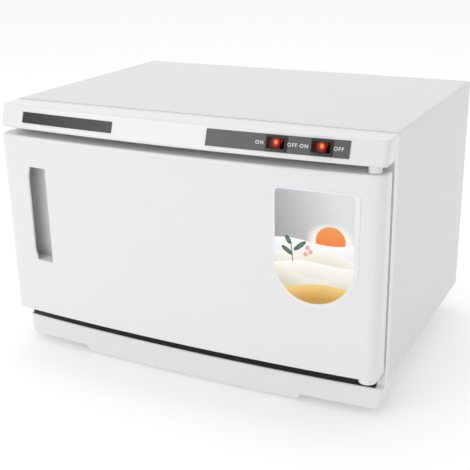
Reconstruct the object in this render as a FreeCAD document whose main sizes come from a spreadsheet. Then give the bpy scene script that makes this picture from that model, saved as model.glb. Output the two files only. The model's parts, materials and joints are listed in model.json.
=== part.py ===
import FreeCAD, Part
import math
import os
import types

import Sketcher
from FreeCAD import Placement, Rotation, Vector

# Hot towel cabinet with an ultraviolet lamp.
# X runs to the right, Y to the rear and Z up. The origin is on the surface that the feet stand on,
# in the middle of the whole outline. All sizes are in millimetres.

# Driving dimensions
SIZES = {
    # folded steel shell
    "shell_width": 450,
    "shell_depth": 290,
    "overall_height": 295,
    "shell_underside": 33,
    "sheet": 1,
    "bend_radius": 3,
    "shell_flange": 18,
    "bow": 8.8,
    # moulded front frame
    "frame_depth": 10,
    "frame_wall": 2.5,
    "fascia_height": 25,
    "fascia_step": 1,
    "fascia_reach": 27,
    "fascia_lean": 8.5,
    "fascia_corner": 6,
    "fascia_edge": 2,
    "skirt_reach": 17,
    "skirt_height": 29,
    "skirt_clearance": 2.6,
    "skirt_end_rise": 5.8,
    "skirt_raised_end": 92,
    "skirt_step": 4,
    "skirt_side_rise": 13.4,
    "skirt_sweep": 6,
    "skirt_corner": 8,
    "skirt_return": 20,
    "skirt_return_corner": 4,
    "mouth_lip": 6,
    # chamber
    "chamber_side_space": 50,
    "chamber_top_space": 52,
    "chamber_rear_space": 55.5,
    "chamber_floor": 71,
    "chamber_corner": 10,
    "liner_sheet": 1,
    "liner_flange": 12,
    "bead_radius": 4,
    "bead_front_gap": 20,
    "bead_rear_gap": 10,
    "rack_height": 60,
    # insulation and heating
    "insulation": 20,
    "insulation_gap": 0.4,
    "window_left": 60,
    "window_right": 125,
    "window_rise": 59,
    "window_height": 40,
    "heater_thickness": 2.4,
    "heater_margin": 15,
    "heater_corner": 12,
    "heater_rib": 4,
    "heater_rib_height": 1,
    "heater_rib_inset": 9,
    "heater_rib_pitch": 20,
    "heater_ribs": 9,
    "thermostat_place": 100,
    "thermostat_rise": 79,
    "thermostat_radius": 8,
    "thermostat_depth": 7,
    "thermostat_ear": 12,
    "thermostat_tab": 5.5,
    "fuse_place": 74,
    "fuse_rise": 67,
    "fuse_radius": 2.5,
    "fuse_length": 24,
    "fuse_wire": 0.6,
    "fuse_wire_reach": 6,
    # door
    "door_top_gap": 7,
    "door_underside": 50,
    "door_thickness": 21.5,
    "door_gap": 7,
    "door_wall": 2.5,
    "door_side_edge": 13,
    "door_edge": 3,
    "panel_corner": 3.5,
    "panel_inset": 0.4,
    "pillow_margin": 4,
    "pillow_height": 5,
    "pillow_edge": 3,
    "foam_gap": 0.3,
    "seal_gap": 0.3,
    "seal_width": 9,
    "seal_margin": 4,
    "seal_groove": 1,
    "seal_play": 0.1,
    "seal_foot": 2,
    "seal_lip_inset": 1.2,
    "seal_edge": 2.2,
    # finger recess
    "recess_left": 38.6,
    "recess_width": 25.4,
    "recess_drop": 34,
    "recess_height": 110.5,
    "recess_depth": 18,
    "undercut": 13,
    "recess_cut_width": 3,
    "recess_cut_height": 12,
    # door sticker
    "sticker_width": 88,
    "sticker_height": 121,
    "sticker_right": 22,
    "sticker_drop": 19,
    "sticker_corner": 6,
    "sticker_film": 0.3,
    # hinges
    "hinge_inset": 13,
    "hinge_behind": 10.75,
    "pin_radius": 2.5,
    "pin_clearance": 0.05,
    "pin_length": 13,
    "bushing_wall": 2,
    "bushing_length": 14,
    "boss_wall": 2,
    "hinge_play": 0.3,
    "hinge_boss": 6.5,
    "hinge_stud": 5,
    "hinge_arm": 5,
    "hinge_eye": 9,
    "hinge_leaf": 2,
    "hinge_leaf_width": 20,
    "hinge_leaf_height": 8,
    "arm_screw_spread": 6,
    "arm_screw_drop": 3.5,
    "nut_reach": 4.6,
    "nut_height": 3,
    # plates on the fascia
    "plate_thickness": 0.6,
    "label_left": 33,
    "label_width": 121,
    "label_top": 6.4,
    "label_height": 11.3,
    "control_right": 36,
    "control_width": 148,
    "control_top": 3.3,
    "control_height": 16,
    # rocker switches
    "bezel_width": 21,
    "bezel_height": 15,
    "bezel_rise": 2,
    "bezel_corner": 1,
    "switch_body_width": 19,
    "switch_body_height": 13,
    "switch_body_depth": 12,
    "cutout_play": 0.2,
    "power_switch_inset": 109,
    "lamp_switch_inset": 63.4,
    "switch_drop": 11.4,
    "pivot_depth": 4,
    "rocker_length": 15.6,
    "rocker_taper": 0.6,
    "rocker_width": 9.8,
    "rocker_crown": 8.4,
    "rocker_dish": 1.3,
    "dish_radius": 25,
    "rocker_shoulder": 4,
    "rocker_foot_inset": 2.5,
    "rocker_foot_rise": 1,
    "rocker_heel": 3,
    "rocker_heel_half": 2.6,
    "rocker_tilt": 10,
    "well_length": 18.6,
    "well_play": 0.3,
    "well_depth": 9,
    "trunnion_radius": 1.2,
    "trunnion_clearance": 0.06,
    "trunnion_reach": 1.1,
    "tab_length": 7,
    "tab_width": 4.8,
    "tab_thickness": 0.8,
    "tab_pitch": 6.5,
    # feet
    "foot_inset": 62,
    "foot_front": 30,
    "foot_rear": 40,
    "foot_radius": 24,
    "foot_neck": 15,
    "foot_rim": 5,
    "foot_rim_slope": 1.5,
    "foot_web": 6,
    "foot_collar": 4,
    "foot_well": 4.4,
    "foot_well_step": 2,
    "foot_opening": 10,
    "foot_inner_edge": 2,
    "foot_outer_edge": 1.5,
    # rack and tray
    "rack_wire": 2,
    "rack_rod": 1.5,
    "rack_play": 1.5,
    "rack_lift": 0.1,
    "rack_corner": 14,
    "rack_rods": 13,
    "rack_front_gap": 8,
    "rack_rear_gap": 10,
    "tray_play": 2,
    "tray_depth": 10,
    "tray_corner": 8,
    # ultraviolet lamp
    "tube_radius": 8,
    "tube_length": 136,
    "tube_wall": 1,
    "lamp_drop": 15,
    "lamp_ahead": 50,
    "lamp_cap": 9,
    "lamp_pin_radius": 1.2,
    "lamp_pin_length": 6,
    "lamp_pin_spread": 2.5,
    "lamp_pin_play": 0.1,
    "socket_play": 0.2,
    "socket_thickness": 10,
    "socket_width": 20,
    "socket_drop": 2,
    "socket_corner": 8,
    "guard_width": 34,
    "guard_flange": 8,
    "guard_slot_inset": 5,
    "guard_end": 7,
    "guard_margin": 6,
    "guard_sheet": 0.8,
    "guard_depth": 28,
    "guard_slot": 5,
    "guard_slots": 13,
    # rear of the cabinet
    "pan_rim": 12,
    "pan_slot_start": 60,
    "pan_slot_length": 120,
    "pan_slot_pitch": 20,
    "gland_reach": 10,
    "gland_flange": 13,
    "gland_flange_edge": 1,
    "gland_flange_depth": 4,
    "gland_nose": 2.5,
    "gland_tail": 8,
    "gland_tail_length": 10,
    "gland_tail_edge": 1.5,
    "gland_bore": 3.5,
    "gland_inset": 55,
    "gland_height": 62,
    "ballast_length": 96,
    "ballast_width": 28,
    "ballast_depth": 24,
    "ballast_place": -100,
    "ballast_drop": 90,
    "ballast_ear": 10,
    "ballast_ear_inset": 4,
    "ballast_ear_sheet": 1.5,
    "starter_radius": 10,
    "starter_length": 32,
    "starter_place": -22,
    "starter_foot": 8,
    "starter_drop": 12,
    "terminal_left": 8,
    "terminal_width": 44,
    "terminal_height": 22,
    "terminal_depth": 16,
    "terminal_poles": 4,
    "pole_radius": 2.6,
    "pole_rise": 5,
    "pole_depth": 5,
    "harness_radius": 2.5,
    "harness_bend": 14,
    "slot_length": 40,
    "slot_width": 4,
    "slot_pitch": 10,
    "slot_rows": 6,
    "slot_drop": 30,
    "screw_inset": 8,
    "pan_screw_rise": 6,
    "screw_radius": 1.5,
    "screw_clearance": 0.1,
    "screw_head": 3.4,
    "screw_head_height": 2,
    "screw_length": 6,
    "screw_head_edge": 1.2,
    "sheet_screw_length": 3,
    "foot_screw_length": 9,
    # magnets and catch plates
    "magnet_width": 10,
    "magnet_height": 34,
    "magnet_inset": 14.5,
    "magnet_spread": 45,
    "magnet_play": 0.1,
    "panel_screw_side": 13.5,
    "panel_screw_end": 12,
    "catch_thickness": 0.8,
    "catch_width": 14,
    "catch_height": 52,
    "catch_gap": 0.3,
    "catch_screw_inset": 3,
}


class Size:
    """A length that keeps its number together with the formula that ties it to the sheet."""

    def __init__(self, number, formula):
        self.number = number
        self.formula = formula

    def joined(self, other, sign, number):
        return Size(number, f"({self.formula} {sign} {formula_of(other)})")

    def __add__(self, other):
        return self.joined(other, "+", self.number + number_of(other))

    def __radd__(self, other):
        return as_size(other) + self

    def __sub__(self, other):
        return self.joined(other, "-", self.number - number_of(other))

    def __rsub__(self, other):
        return as_size(other) - self

    def __mul__(self, other):
        return self.joined(other, "*", self.number * number_of(other))

    def __rmul__(self, other):
        return as_size(other) * self

    def __truediv__(self, other):
        return self.joined(other, "/", self.number / number_of(other))

    def __neg__(self):
        return Size(-self.number, f"(0 - {self.formula})")


def number_of(value):
    return value.number if isinstance(value, Size) else value


def formula_of(value):
    return value.formula if isinstance(value, Size) else f"({value:g})"


def as_size(value):
    return value if isinstance(value, Size) else Size(value, formula_of(value))


def root(value):
    return Size(math.sqrt(value.number), f"sqrt({value.formula})")


doc = FreeCAD.newDocument("towel_cabinet")
sheet = doc.addObject("Spreadsheet::Sheet", "Sizes")
for row, (alias, value) in enumerate(SIZES.items(), start=1):
    sheet.set(f"A{row}", alias)
    sheet.set(f"B{row}", str(value))
    sheet.setAlias(f"B{row}", alias)
doc.recompute()
size = types.SimpleNamespace(**{alias: Size(value, f"Sizes.{alias}") for alias, value in SIZES.items()})

# Places that several pieces share
half_width = size.shell_width / 2
front_reach = size.frame_depth + size.door_gap + size.door_thickness + size.bow
front = -(size.shell_depth + size.gland_reach - front_reach) / 2
rear = front + size.shell_depth
landing = front - size.frame_depth
door_back = landing - size.door_gap
bow_radius = (half_width * half_width + size.bow * size.bow) / (2 * size.bow)
fascia_top = size.overall_height - size.fascia_step
fascia_bottom = fascia_top - size.fascia_height
skirt_top = size.skirt_clearance + size.skirt_height
door_top = fascia_bottom - size.door_top_gap
door_reach = size.frame_depth + size.door_gap + size.door_thickness
chamber_half = half_width - size.chamber_side_space
chamber_roof = size.overall_height - size.chamber_top_space
liner_front = landing + size.frame_wall + size.mouth_lip
liner_rear = rear - size.chamber_rear_space
lamp_y = liner_rear - size.lamp_ahead
foot_x = half_width - size.foot_inset
gland_x = half_width - size.gland_inset
power_switch_x = half_width - size.power_switch_inset
lamp_switch_x = half_width - size.lamp_switch_inset
ballast_height = size.overall_height - size.ballast_drop
pan_floor = size.shell_underside + size.sheet
hinge_x = half_width - size.hinge_inset
hinge_y = door_back - size.hinge_behind
pieces = {}

# How far a cutting tool runs past the face that it cuts, and how far it starts ahead of a slant
PAST = 1
PROUD = 4
# Front edges lie at least this far ahead of the plane behind them
AHEAD = 5
# Share of a slot's half width that its end arcs take
SLOT_END = 0.98


def bind(thing, **formulas):
    """Ties properties of an object to the sheet."""
    for name, value in formulas.items():
        thing.setExpression(name, formula_of(value))


def place_at(thing, x, y, z):
    for axis, value in (("x", x), ("y", y), ("z", z)):
        thing.setExpression(f"Placement.Base.{axis}", formula_of(value))


def sub_part(thing, label):
    """Names a finished piece."""
    thing.Label = label
    pieces[label] = thing
    return thing


def block(name, x_range, y_range, z_range):
    """Box between two places along each axis."""
    thing = doc.addObject("Part::Box", name)
    ranges = (x_range, y_range, z_range)
    for side, (low, high) in zip(("Length", "Width", "Height"), ranges):
        thing.setExpression(side, formula_of(as_size(high) - low))
    place_at(thing, x_range[0], y_range[0], z_range[0])
    return thing


TURNS = {
    "X": Rotation(Vector(0, 1, 0), 90),
    "Y": Rotation(Vector(1, 0, 0), -90),
    "Z": Rotation(),
}


def rod(name, x, y, z, radius, length, along="Z"):
    """Cylinder from a point towards plus X, Y or Z."""
    thing = doc.addObject("Part::Cylinder", name)
    thing.Placement = Placement(Vector(), TURNS[along])
    bind(thing, Radius=radius, Height=length)
    place_at(thing, x, y, z)
    return thing


def fuse(name, *parts):
    thing = doc.addObject("Part::MultiFuse", name)
    thing.Shapes = list(parts)
    thing.Refine = True
    return thing


def cut(name, base, *tools):
    tool = tools[0] if len(tools) == 1 else fuse(f"{name}_tools", *tools)
    thing = doc.addObject("Part::Cut", name)
    thing.Base = base
    thing.Tool = tool
    thing.Refine = True
    return thing


def common(name, base, tool):
    thing = doc.addObject("Part::Common", name)
    thing.Base = base
    thing.Tool = tool
    thing.Refine = True
    return thing


def edge_numbers(shape, test):
    """Numbers of the edges that a test on an edge's two ends picks."""
    found = []
    for number, edge in enumerate(shape.Edges, start=1):
        ends = [vertex.Point for vertex in edge.Vertexes]
        if test(ends[0], ends[-1]):
            found.append(number)
    return found


def rounded(name, base, radius, test):
    """Rounds the edges that the test picks."""
    doc.recompute()
    thing = doc.addObject("Part::Fillet", name)
    thing.Base = base
    amount = number_of(radius)
    thing.Edges = [(number, amount, amount) for number in edge_numbers(base.Shape, test)]
    return thing


def same(a, b, tolerance=0.01):
    return abs(a - number_of(b)) < tolerance


def bowed(name, half, reach, lean, back, bottom, top):
    """Block whose front is bowed in plan and may lean forward towards its foot.
    The reach is measured from the shell's front edge to the front's ends."""
    middle = front - reach - size.bow + bow_radius
    if number_of(lean) == 0:
        drum = doc.addObject("Part::Cylinder", f"{name}_drum")
        bind(drum, Radius=bow_radius, Height=as_size(top) - bottom)
    else:
        drum = doc.addObject("Part::Cone", f"{name}_drum")
        bind(drum, Radius1=bow_radius + lean, Radius2=bow_radius, Height=as_size(top) - bottom)
    place_at(drum, 0, middle, bottom)
    nose = front - reach - lean - size.bow - 1
    slab = block(f"{name}_slab", (-half, half), (nose, back), (bottom, top))
    return common(name, drum, slab)


def surface_y(x, reach, extra=0):
    """Y of a bowed front at a place across its width."""
    radius = bow_radius + extra
    return front - reach - size.bow + bow_radius - root(radius * radius - x * x)


# Sketches whose every corner is tied to the sheet

PLANES = {"XY": "XY_Plane", "XZ": "XZ_Plane", "YZ": "YZ_Plane"}


def arc_middle(start, end, radius):
    """Middle point of the shorter arc, turning left for a positive radius."""
    chord = end - start
    left = Vector(-chord.y, chord.x, 0).normalize()
    half_chord = chord.Length / 2
    rise = abs(radius) - math.sqrt(max(radius * radius - half_chord * half_chord, 0))
    side = -1 if radius > 0 else 1
    return (start + end) * 0.5 + left * (side * rise)


def outline(sketch, points):
    """Closed outline. A point is (across, up), or (across, up, radius) where an arc leads to it."""
    places = [Vector(number_of(point[0]), number_of(point[1]), 0) for point in points]
    first = sketch.GeometryCount
    count = len(points)
    starts = []
    for index in range(count):
        following = (index + 1) % count
        start = places[index]
        end = places[following]
        target = points[following]
        if len(target) == 3:
            curve = Part.Arc(start, arc_middle(start, end, number_of(target[2])), end)
        else:
            curve = Part.LineSegment(start, end)
        number = sketch.addGeometry(curve, False)
        begins = sketch.getPoint(number, 1).distanceToPoint(start) < 1e-6
        starts.append(1 if begins else 2)
    for index, point in enumerate(points):
        following = (index + 1) % count
        this_curve = first + index
        next_curve = first + following
        finish = 3 - starts[index]
        joint = Sketcher.Constraint("Coincident", this_curve, finish, next_curve, starts[following])
        sketch.addConstraint(joint)
        for kind, value in (("DistanceX", point[0]), ("DistanceY", point[1])):
            rule = Sketcher.Constraint(kind, -1, 1, this_curve, starts[index], number_of(value))
            place = sketch.addConstraint(rule)
            sketch.setExpression(f"Constraints[{place}]", formula_of(value))
        target = points[following]
        if len(target) == 3:
            radius = as_size(target[2])
            magnitude = radius if radius.number > 0 else -radius
            rule = Sketcher.Constraint("Radius", this_curve, magnitude.number)
            place = sketch.addConstraint(rule)
            sketch.setExpression(f"Constraints[{place}]", magnitude.formula)


def open_line(sketch, points):
    """Line of straight runs and arcs through points, each tied to the sheet."""
    places = [Vector(number_of(point[0]), number_of(point[1]), 0) for point in points]
    for index, target in enumerate(points[1:]):
        start = places[index]
        end = places[index + 1]
        if len(target) == 3:
            curve = Part.Arc(start, arc_middle(start, end, number_of(target[2])), end)
        else:
            curve = Part.LineSegment(start, end)
        number = sketch.addGeometry(curve, False)
        begins = sketch.getPoint(number, 1).distanceToPoint(start) < 1e-6
        ends = (1, 2) if begins else (2, 1)
        for position, place in zip(ends, (points[index], target)):
            for kind, value in (("DistanceX", place[0]), ("DistanceY", place[1])):
                rule = Sketcher.Constraint(kind, -1, 1, number, position, number_of(value))
                made = sketch.addConstraint(rule)
                sketch.setExpression(f"Constraints[{made}]", formula_of(value))


def circle(sketch, across, up, radius):
    """Circle tied to the sheet by its centre and radius."""
    centre = Vector(number_of(across), number_of(up), 0)
    number = sketch.addGeometry(Part.Circle(centre, Vector(0, 0, 1), number_of(radius)), False)
    for kind, value in (("DistanceX", across), ("DistanceY", up)):
        rule = Sketcher.Constraint(kind, -1, 1, number, 3, number_of(value))
        place = sketch.addConstraint(rule)
        sketch.setExpression(f"Constraints[{place}]", formula_of(value))
    place = sketch.addConstraint(Sketcher.Constraint("Radius", number, number_of(radius)))
    sketch.setExpression(f"Constraints[{place}]", formula_of(radius))


def new_body(label):
    return sub_part(doc.addObject("PartDesign::Body", label), label)


def new_sketch(body, plane, offset=0):
    """Sketch on one of the body's own planes, at a distance along that plane's normal."""
    role = PLANES[plane]
    support = [item for item in body.Origin.OriginFeatures if item.Role == role][0]
    sketch = body.newObject("Sketcher::SketchObject", f"{body.Name}_outline")
    sketch.AttachmentSupport = [(support, "")]
    sketch.MapMode = "FlatFace"
    sketch.setExpression("AttachmentOffset.Base.z", formula_of(offset))
    return sketch


def draw(sketch, outlines):
    for shape in outlines:
        if len(shape) == 3 and not isinstance(shape[0], tuple):
            circle(sketch, *shape)
        else:
            outline(sketch, shape)


def pad(body, plane, outlines, low, high):
    """Solid between two levels along the plane's axis. An outline inside another is a hole."""
    offset = -as_size(high) if plane == "XZ" else low
    sketch = new_sketch(body, plane, offset)
    draw(sketch, outlines)
    feature = body.newObject("PartDesign::Pad", f"{body.Name}_pad")
    feature.Profile = sketch
    bind(feature, Length=as_size(high) - low)
    return feature


def pocket(body, plane, outlines, low, high):
    """Removes what lies between two levels along the plane's axis."""
    offset = -as_size(low) if plane == "XZ" else high
    sketch = new_sketch(body, plane, offset)
    draw(sketch, outlines)
    doc.recompute()
    before = body.Shape.Volume
    feature = body.newObject("PartDesign::Pocket", f"{body.Name}_pocket")
    feature.Profile = sketch
    bind(feature, Length=as_size(high) - low)
    doc.recompute()
    if body.Shape.Volume > before - 1e-6:
        raise ValueError(f"{body.Label}: a pocket removes nothing")
    return feature


def revolved(body, plane, points, axis):
    """Full turn of an outline about the sketch's own H_Axis or V_Axis."""
    sketch = new_sketch(body, plane)
    outline(sketch, points)
    feature = body.newObject("PartDesign::Revolution", f"{body.Name}_turn")
    feature.Profile = sketch
    feature.ReferenceAxis = (sketch, [axis])
    feature.Angle = 360
    return feature


def soften(body, radius, test):
    """Rounds edges of a body's last feature."""
    doc.recompute()
    base = body.Tip
    feature = body.newObject("PartDesign::Fillet", f"{body.Name}_round")
    feature.Base = (base, [f"Edge{number}" for number in edge_numbers(base.Shape, test)])
    bind(feature, Radius=radius)
    return feature


def repeat(body, feature, role, pitch, count):
    """Row of copies of a feature along one of the body's own axes."""
    axis = [item for item in body.Origin.OriginFeatures if item.Role == role][0]
    pattern = body.newObject("PartDesign::LinearPattern", f"{body.Name}_row")
    pattern.Originals = [feature]
    pattern.Direction = (axis, [""])
    pattern.Mode = "Spacing"
    bind(pattern, Offset=pitch, Occurrences=count)
    body.Tip = pattern
    return pattern


def rectangle(low_x, high_x, low_z, high_z):
    return [(low_x, low_z), (high_x, low_z), (high_x, high_z), (low_x, high_z)]


def rounded_loop(low_x, high_x, low_z, high_z, radius):
    """Rectangle with four equal round corners, drawn anticlockwise."""
    return [
        (low_x + radius, low_z, radius),
        (high_x - radius, low_z),
        (high_x, low_z + radius, radius),
        (high_x, high_z - radius),
        (high_x - radius, high_z, radius),
        (low_x + radius, high_z),
        (low_x, high_z - radius, radius),
        (low_x, low_z + radius),
    ]


# Outer shell: one sheet folded over the top and both sides, with a flange under each side

def make_outer_shell():
    body = new_body("outer_shell")
    out = half_width
    inside = half_width - size.sheet
    lip = half_width - size.shell_flange
    top = size.overall_height
    low = size.shell_underside
    profile = [
        (-out, low),
        (-lip, low),
        (-lip, low + size.sheet),
        (-inside, low + size.sheet),
        (-inside, top - size.sheet),
        (inside, top - size.sheet),
        (inside, low + size.sheet),
        (lip, low + size.sheet),
        (lip, low),
        (out, low),
        (out, top),
        (-out, top),
    ]
    pad(body, "XZ", [profile], front, rear)
    upper = number_of(top)
    edge = number_of(out)
    soften(body, size.bend_radius, lambda a, b: same(a.x, b.x) and same(abs(a.x), edge)
           and same(a.z, upper) and same(b.z, upper))


# Rear panel: flat sheet inside the shell's rear edge, with two fields of air slots

def screw_places_rear():
    side = half_width - size.sheet - size.screw_inset
    high = size.overall_height - size.sheet - size.screw_inset
    low = pan_floor + size.pan_screw_rise
    levels = (low, high, (low + high) / 2)
    edges = [(side * turn, level) for turn in (-1, 1) for level in levels]
    return edges + [(0, low), (0, high)]


def make_rear_panel():
    body = new_body("rear_panel")
    side = half_width - size.sheet
    top = size.overall_height - size.sheet
    back = rear
    inner = rear - size.sheet
    hole = size.screw_radius + size.screw_clearance
    holes = [(x, z, hole) for x, z in screw_places_rear()]
    holes.append((gland_x, size.gland_height, size.gland_tail))
    pad(body, "XZ", [rectangle(-side, side, pan_floor, top), *holes], inner, back)
    for sign in (-1, 1):
        middle = sign * size.shell_width / 4
        low = middle - size.slot_length / 2
        high = middle + size.slot_length / 2
        level = top - size.slot_drop
        end = size.slot_width / 2 * SLOT_END
        slot = rounded_loop(low, high, level - size.slot_width, level, end)
        feature = pocket(body, "XZ", [slot], inner, back)
        row = repeat(body, feature, "Z_Axis", size.slot_pitch, size.slot_rows)
        row.Reversed = True


# Base pan: shallow tray on the shell's flanges, with air slots between the feet

def foot_places():
    near = front + size.foot_front
    far = rear - size.foot_rear
    return {
        "foot_front_left": (-foot_x, near),
        "foot_front_right": (foot_x, near),
        "foot_rear_left": (-foot_x, far),
        "foot_rear_right": (foot_x, far),
    }


def make_base_pan():
    body = new_body("base_pan")
    side = half_width - size.sheet
    near = front
    far = rear - size.sheet
    hole = size.screw_radius + size.screw_clearance
    holes = [(x, y, hole) for x, y in foot_places().values()]
    rim_top = pan_floor + size.pan_rim
    floor_top = pan_floor + size.sheet
    pad(body, "XY", [rectangle(-side, side, near, far), *holes], pan_floor, floor_top)
    inner = rectangle(-side + size.sheet, side - size.sheet, near + size.sheet, far - size.sheet)
    pad(body, "XY", [rectangle(-side, side, near, far), inner], floor_top, rim_top)
    half_slot = size.pan_slot_length / 2
    slot_near = near + size.pan_slot_start
    slot = rounded_loop(-half_slot, half_slot, slot_near, slot_near + size.slot_width,
                        size.slot_width / 2 * SLOT_END)
    feature = pocket(body, "XY", [slot], pan_floor, floor_top)
    repeat(body, feature, "Y_Axis", size.pan_slot_pitch, size.slot_rows)
    low = pan_floor + size.pan_screw_rise
    rear_holes = [(x, z, hole) for x, z in screw_places_rear() if same(z.number, low)]
    pocket(body, "XZ", rear_holes, far - 2 * size.sheet, far + size.sheet)


# Front frame: one moulding with the fascia, the landing round the mouth and the skirt

def slanted(x, reach_drop):
    """Placement on the fascia's slanted, bowed face: local minus Y points out of the face."""
    drop = number_of(reach_drop)
    share = drop / number_of(size.fascia_height)
    radius = bow_radius.number + size.fascia_lean.number * share
    across = number_of(x)
    reach = size.fascia_reach.number
    y = front.number - reach - size.bow.number + bow_radius.number
    y -= math.sqrt(radius * radius - across * across)
    yaw = math.degrees(math.asin(across / radius))
    lean = math.degrees(math.atan2(size.fascia_lean.number, size.fascia_height.number))
    return Placement(Vector(across, y, number_of(fascia_top) - drop), Rotation(yaw, 0, -lean))


def tilted_block(name, place, width, deep, height):
    """Box centred across a slanted place, from a little outside it to a depth behind it."""
    thing = doc.addObject("Part::Box", name)
    bind(thing, Length=width, Width=as_size(deep) + PROUD, Height=height)
    corner = Vector(-number_of(width) / 2, -PROUD, -number_of(height) / 2)
    thing.Placement = place.multiply(Placement(corner, Rotation()))
    return thing


def switch_cutouts(name, deep):
    width = size.switch_body_width + 2 * size.cutout_play
    height = size.switch_body_height + 2 * size.cutout_play
    tools = []
    for index, place in enumerate((power_switch_x, lamp_switch_x)):
        spot = slanted(place, size.switch_drop)
        tools.append(tilted_block(f"{name}_cutout_{index}", spot, width, deep, height))
    return tools


def prism(name, plane, points, low, high):
    """Straight prism for shaping other pieces."""
    body = doc.addObject("PartDesign::Body", name)
    pad(body, plane, [points], low, high)
    return body


def fascia_solid(name, inset, back):
    return bowed(name, half_width - inset, size.fascia_reach - inset, size.fascia_lean, back,
                 fascia_bottom + inset, fascia_top - inset)


def make_front_frame():
    fascia = fascia_solid("fascia_block", 0, front)
    front_y = number_of(front)
    edge = number_of(half_width)
    high = number_of(fascia_top)
    fascia = rounded("fascia_ends", fascia, size.fascia_corner, lambda a, b:
                     same(abs(a.x), edge) and same(a.x, b.x) and a.y < front_y - AHEAD
                     and b.y < front_y - AHEAD and abs(a.z - b.z) > AHEAD)
    fascia = rounded("fascia_rounded", fascia, size.fascia_edge, lambda a, b:
                     same(a.z, b.z) and a.y < front_y - AHEAD and b.y < front_y - AHEAD)
    slab = block("landing_block", (-half_width, half_width), (landing, front),
                 (skirt_top - size.frame_wall, fascia_bottom + size.frame_wall))
    skirt = bowed("skirt_block", half_width, size.skirt_reach, 0, front,
                  size.skirt_clearance, skirt_top)
    skirt = rounded("skirt_ends", skirt, size.skirt_corner, lambda a, b:
                    same(abs(a.x), edge) and same(a.x, b.x) and same(a.y, b.y)
                    and a.y < front_y - AHEAD)
    skirt_high = number_of(skirt_top)
    skirt = rounded("skirt_rounded", skirt, size.fascia_edge, lambda a, b:
                    same(a.z, skirt_high) and same(b.z, skirt_high)
                    and a.y < front_y - AHEAD and b.y < front_y - AHEAD)
    wall = size.frame_wall
    side_low = size.skirt_clearance + size.skirt_side_rise
    returns = []
    for sign in (-1, 1):
        ends = sorted((sign * half_width, sign * (half_width - wall)), key=number_of)
        turn = size.skirt_return_corner
        strip = [
            (front - wall, side_low),
            (front + size.skirt_return - turn, side_low),
            (front + size.skirt_return, side_low + turn, turn),
            (front + size.skirt_return, size.shell_underside),
            (front - wall, size.shell_underside),
        ]
        returns.append(prism("skirt_return", "YZ", strip, *ends))
    outer = fuse("frame_outside", fascia, slab, skirt)

    behind = front + PAST
    hollow_top = fascia_solid("fascia_hollow", wall, behind)
    hollow_middle = block("landing_hollow", (-half_width + wall, half_width - wall),
                          (landing + wall, behind),
                          (size.skirt_clearance, fascia_bottom + wall + PAST))
    hollow_low = bowed("skirt_hollow", half_width - wall, size.skirt_reach - wall, 0, behind,
                       0, skirt_top - wall)
    frame = cut("frame_walls", outer, hollow_top, hollow_middle, hollow_low)
    frame = fuse("frame_with_returns", frame, *returns)

    rim = prism("mouth_rim", "XZ", rounded_loop(
        -chamber_half - wall, chamber_half + wall, size.chamber_floor - wall,
        chamber_roof + wall, size.chamber_corner + wall), landing, liner_front)
    frame = fuse("frame_with_rim", frame, rim)
    mouth = prism("mouth", "XZ", rounded_loop(
        -chamber_half, chamber_half, size.chamber_floor, chamber_roof, size.chamber_corner),
        landing - PAST, liner_front + PAST)

    nose = front - size.skirt_reach - size.bow - PAST
    low = -PAST
    raised = size.skirt_clearance + size.skirt_end_rise
    side = half_width + PAST
    tools = [mouth]
    for sign in (-1, 1):
        raised_from = half_width - size.skirt_raised_end
        step = [
            (sign * raised_from, low),
            (sign * side, low),
            (sign * side, raised),
            (sign * (raised_from + size.skirt_step), raised),
            (sign * raised_from, size.skirt_clearance),
        ]
        tools.append(prism("skirt_end_cut", "XZ", step, nose, behind))
        sweep_from = front - size.skirt_reach - PAST
        sweep = [
            (sweep_from, raised - PAST),
            (behind, raised - PAST),
            (behind, side_low),
            (sweep_from + size.skirt_sweep, side_low),
            (sweep_from, raised),
        ]
        ends = sorted((sign * side, sign * (half_width - size.skirt_corner)), key=number_of)
        tools.append(prism("skirt_side_cut", "YZ", sweep, *ends))
    tools.extend(switch_cutouts("fascia", size.switch_body_depth))
    tools.append(rod("hinge_stud_hole", hinge_x, hinge_y, fascia_bottom - PAST,
                     size.pin_radius + size.screw_clearance, wall + 2 * PAST))
    hole = size.screw_radius + size.screw_clearance
    for index, (x, z) in enumerate(arm_screw_places() + catch_screw_places()):
        tools.append(rod(f"landing_hole_{index}", x, landing - PAST, z, hole,
                         wall + 2 * PAST, "Y"))
    sub_part(cut("front_frame", frame, *tools), "front_frame")


# Plates on the fascia: thin bowed plates cut from a skin of the fascia's own surface

def fascia_skin(name, left, right, drop, height):
    thick = size.plate_thickness
    outer = bowed(f"{name}_outer", half_width, size.fascia_reach + thick, size.fascia_lean,
                  front, fascia_bottom, fascia_top)
    inner = bowed(f"{name}_inner", half_width + PAST, size.fascia_reach, size.fascia_lean,
                  front + PAST, fascia_bottom, fascia_top)
    skin = cut(f"{name}_skin", outer, inner)
    nose = front - size.fascia_reach - size.fascia_lean - size.bow - thick - PAST
    high = fascia_top - drop
    window = block(f"{name}_window", (left, right), (nose, front), (high - height, high))
    return common(f"{name}_plate", skin, window)


def make_plates():
    left = -half_width + size.label_left
    plate = fascia_skin("label", left, left + size.label_width, size.label_top,
                        size.label_height)
    sub_part(plate, "label_plate")
    right = half_width - size.control_right
    plate = fascia_skin("control", right - size.control_width, right, size.control_top,
                        size.control_height)
    sub_part(cut("control_cut", plate, *switch_cutouts("control", PROUD)), "control_plate")


# Rocker switches: snap-in body with a well, and a dished rocker on two trunnions

def switch_place(across):
    """Where a switch stands: on the control plate's outer face."""
    spot = slanted(across, size.switch_drop)
    out = Placement(Vector(0, -size.plate_thickness.number, 0), Rotation())
    return spot.multiply(out)


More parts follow.
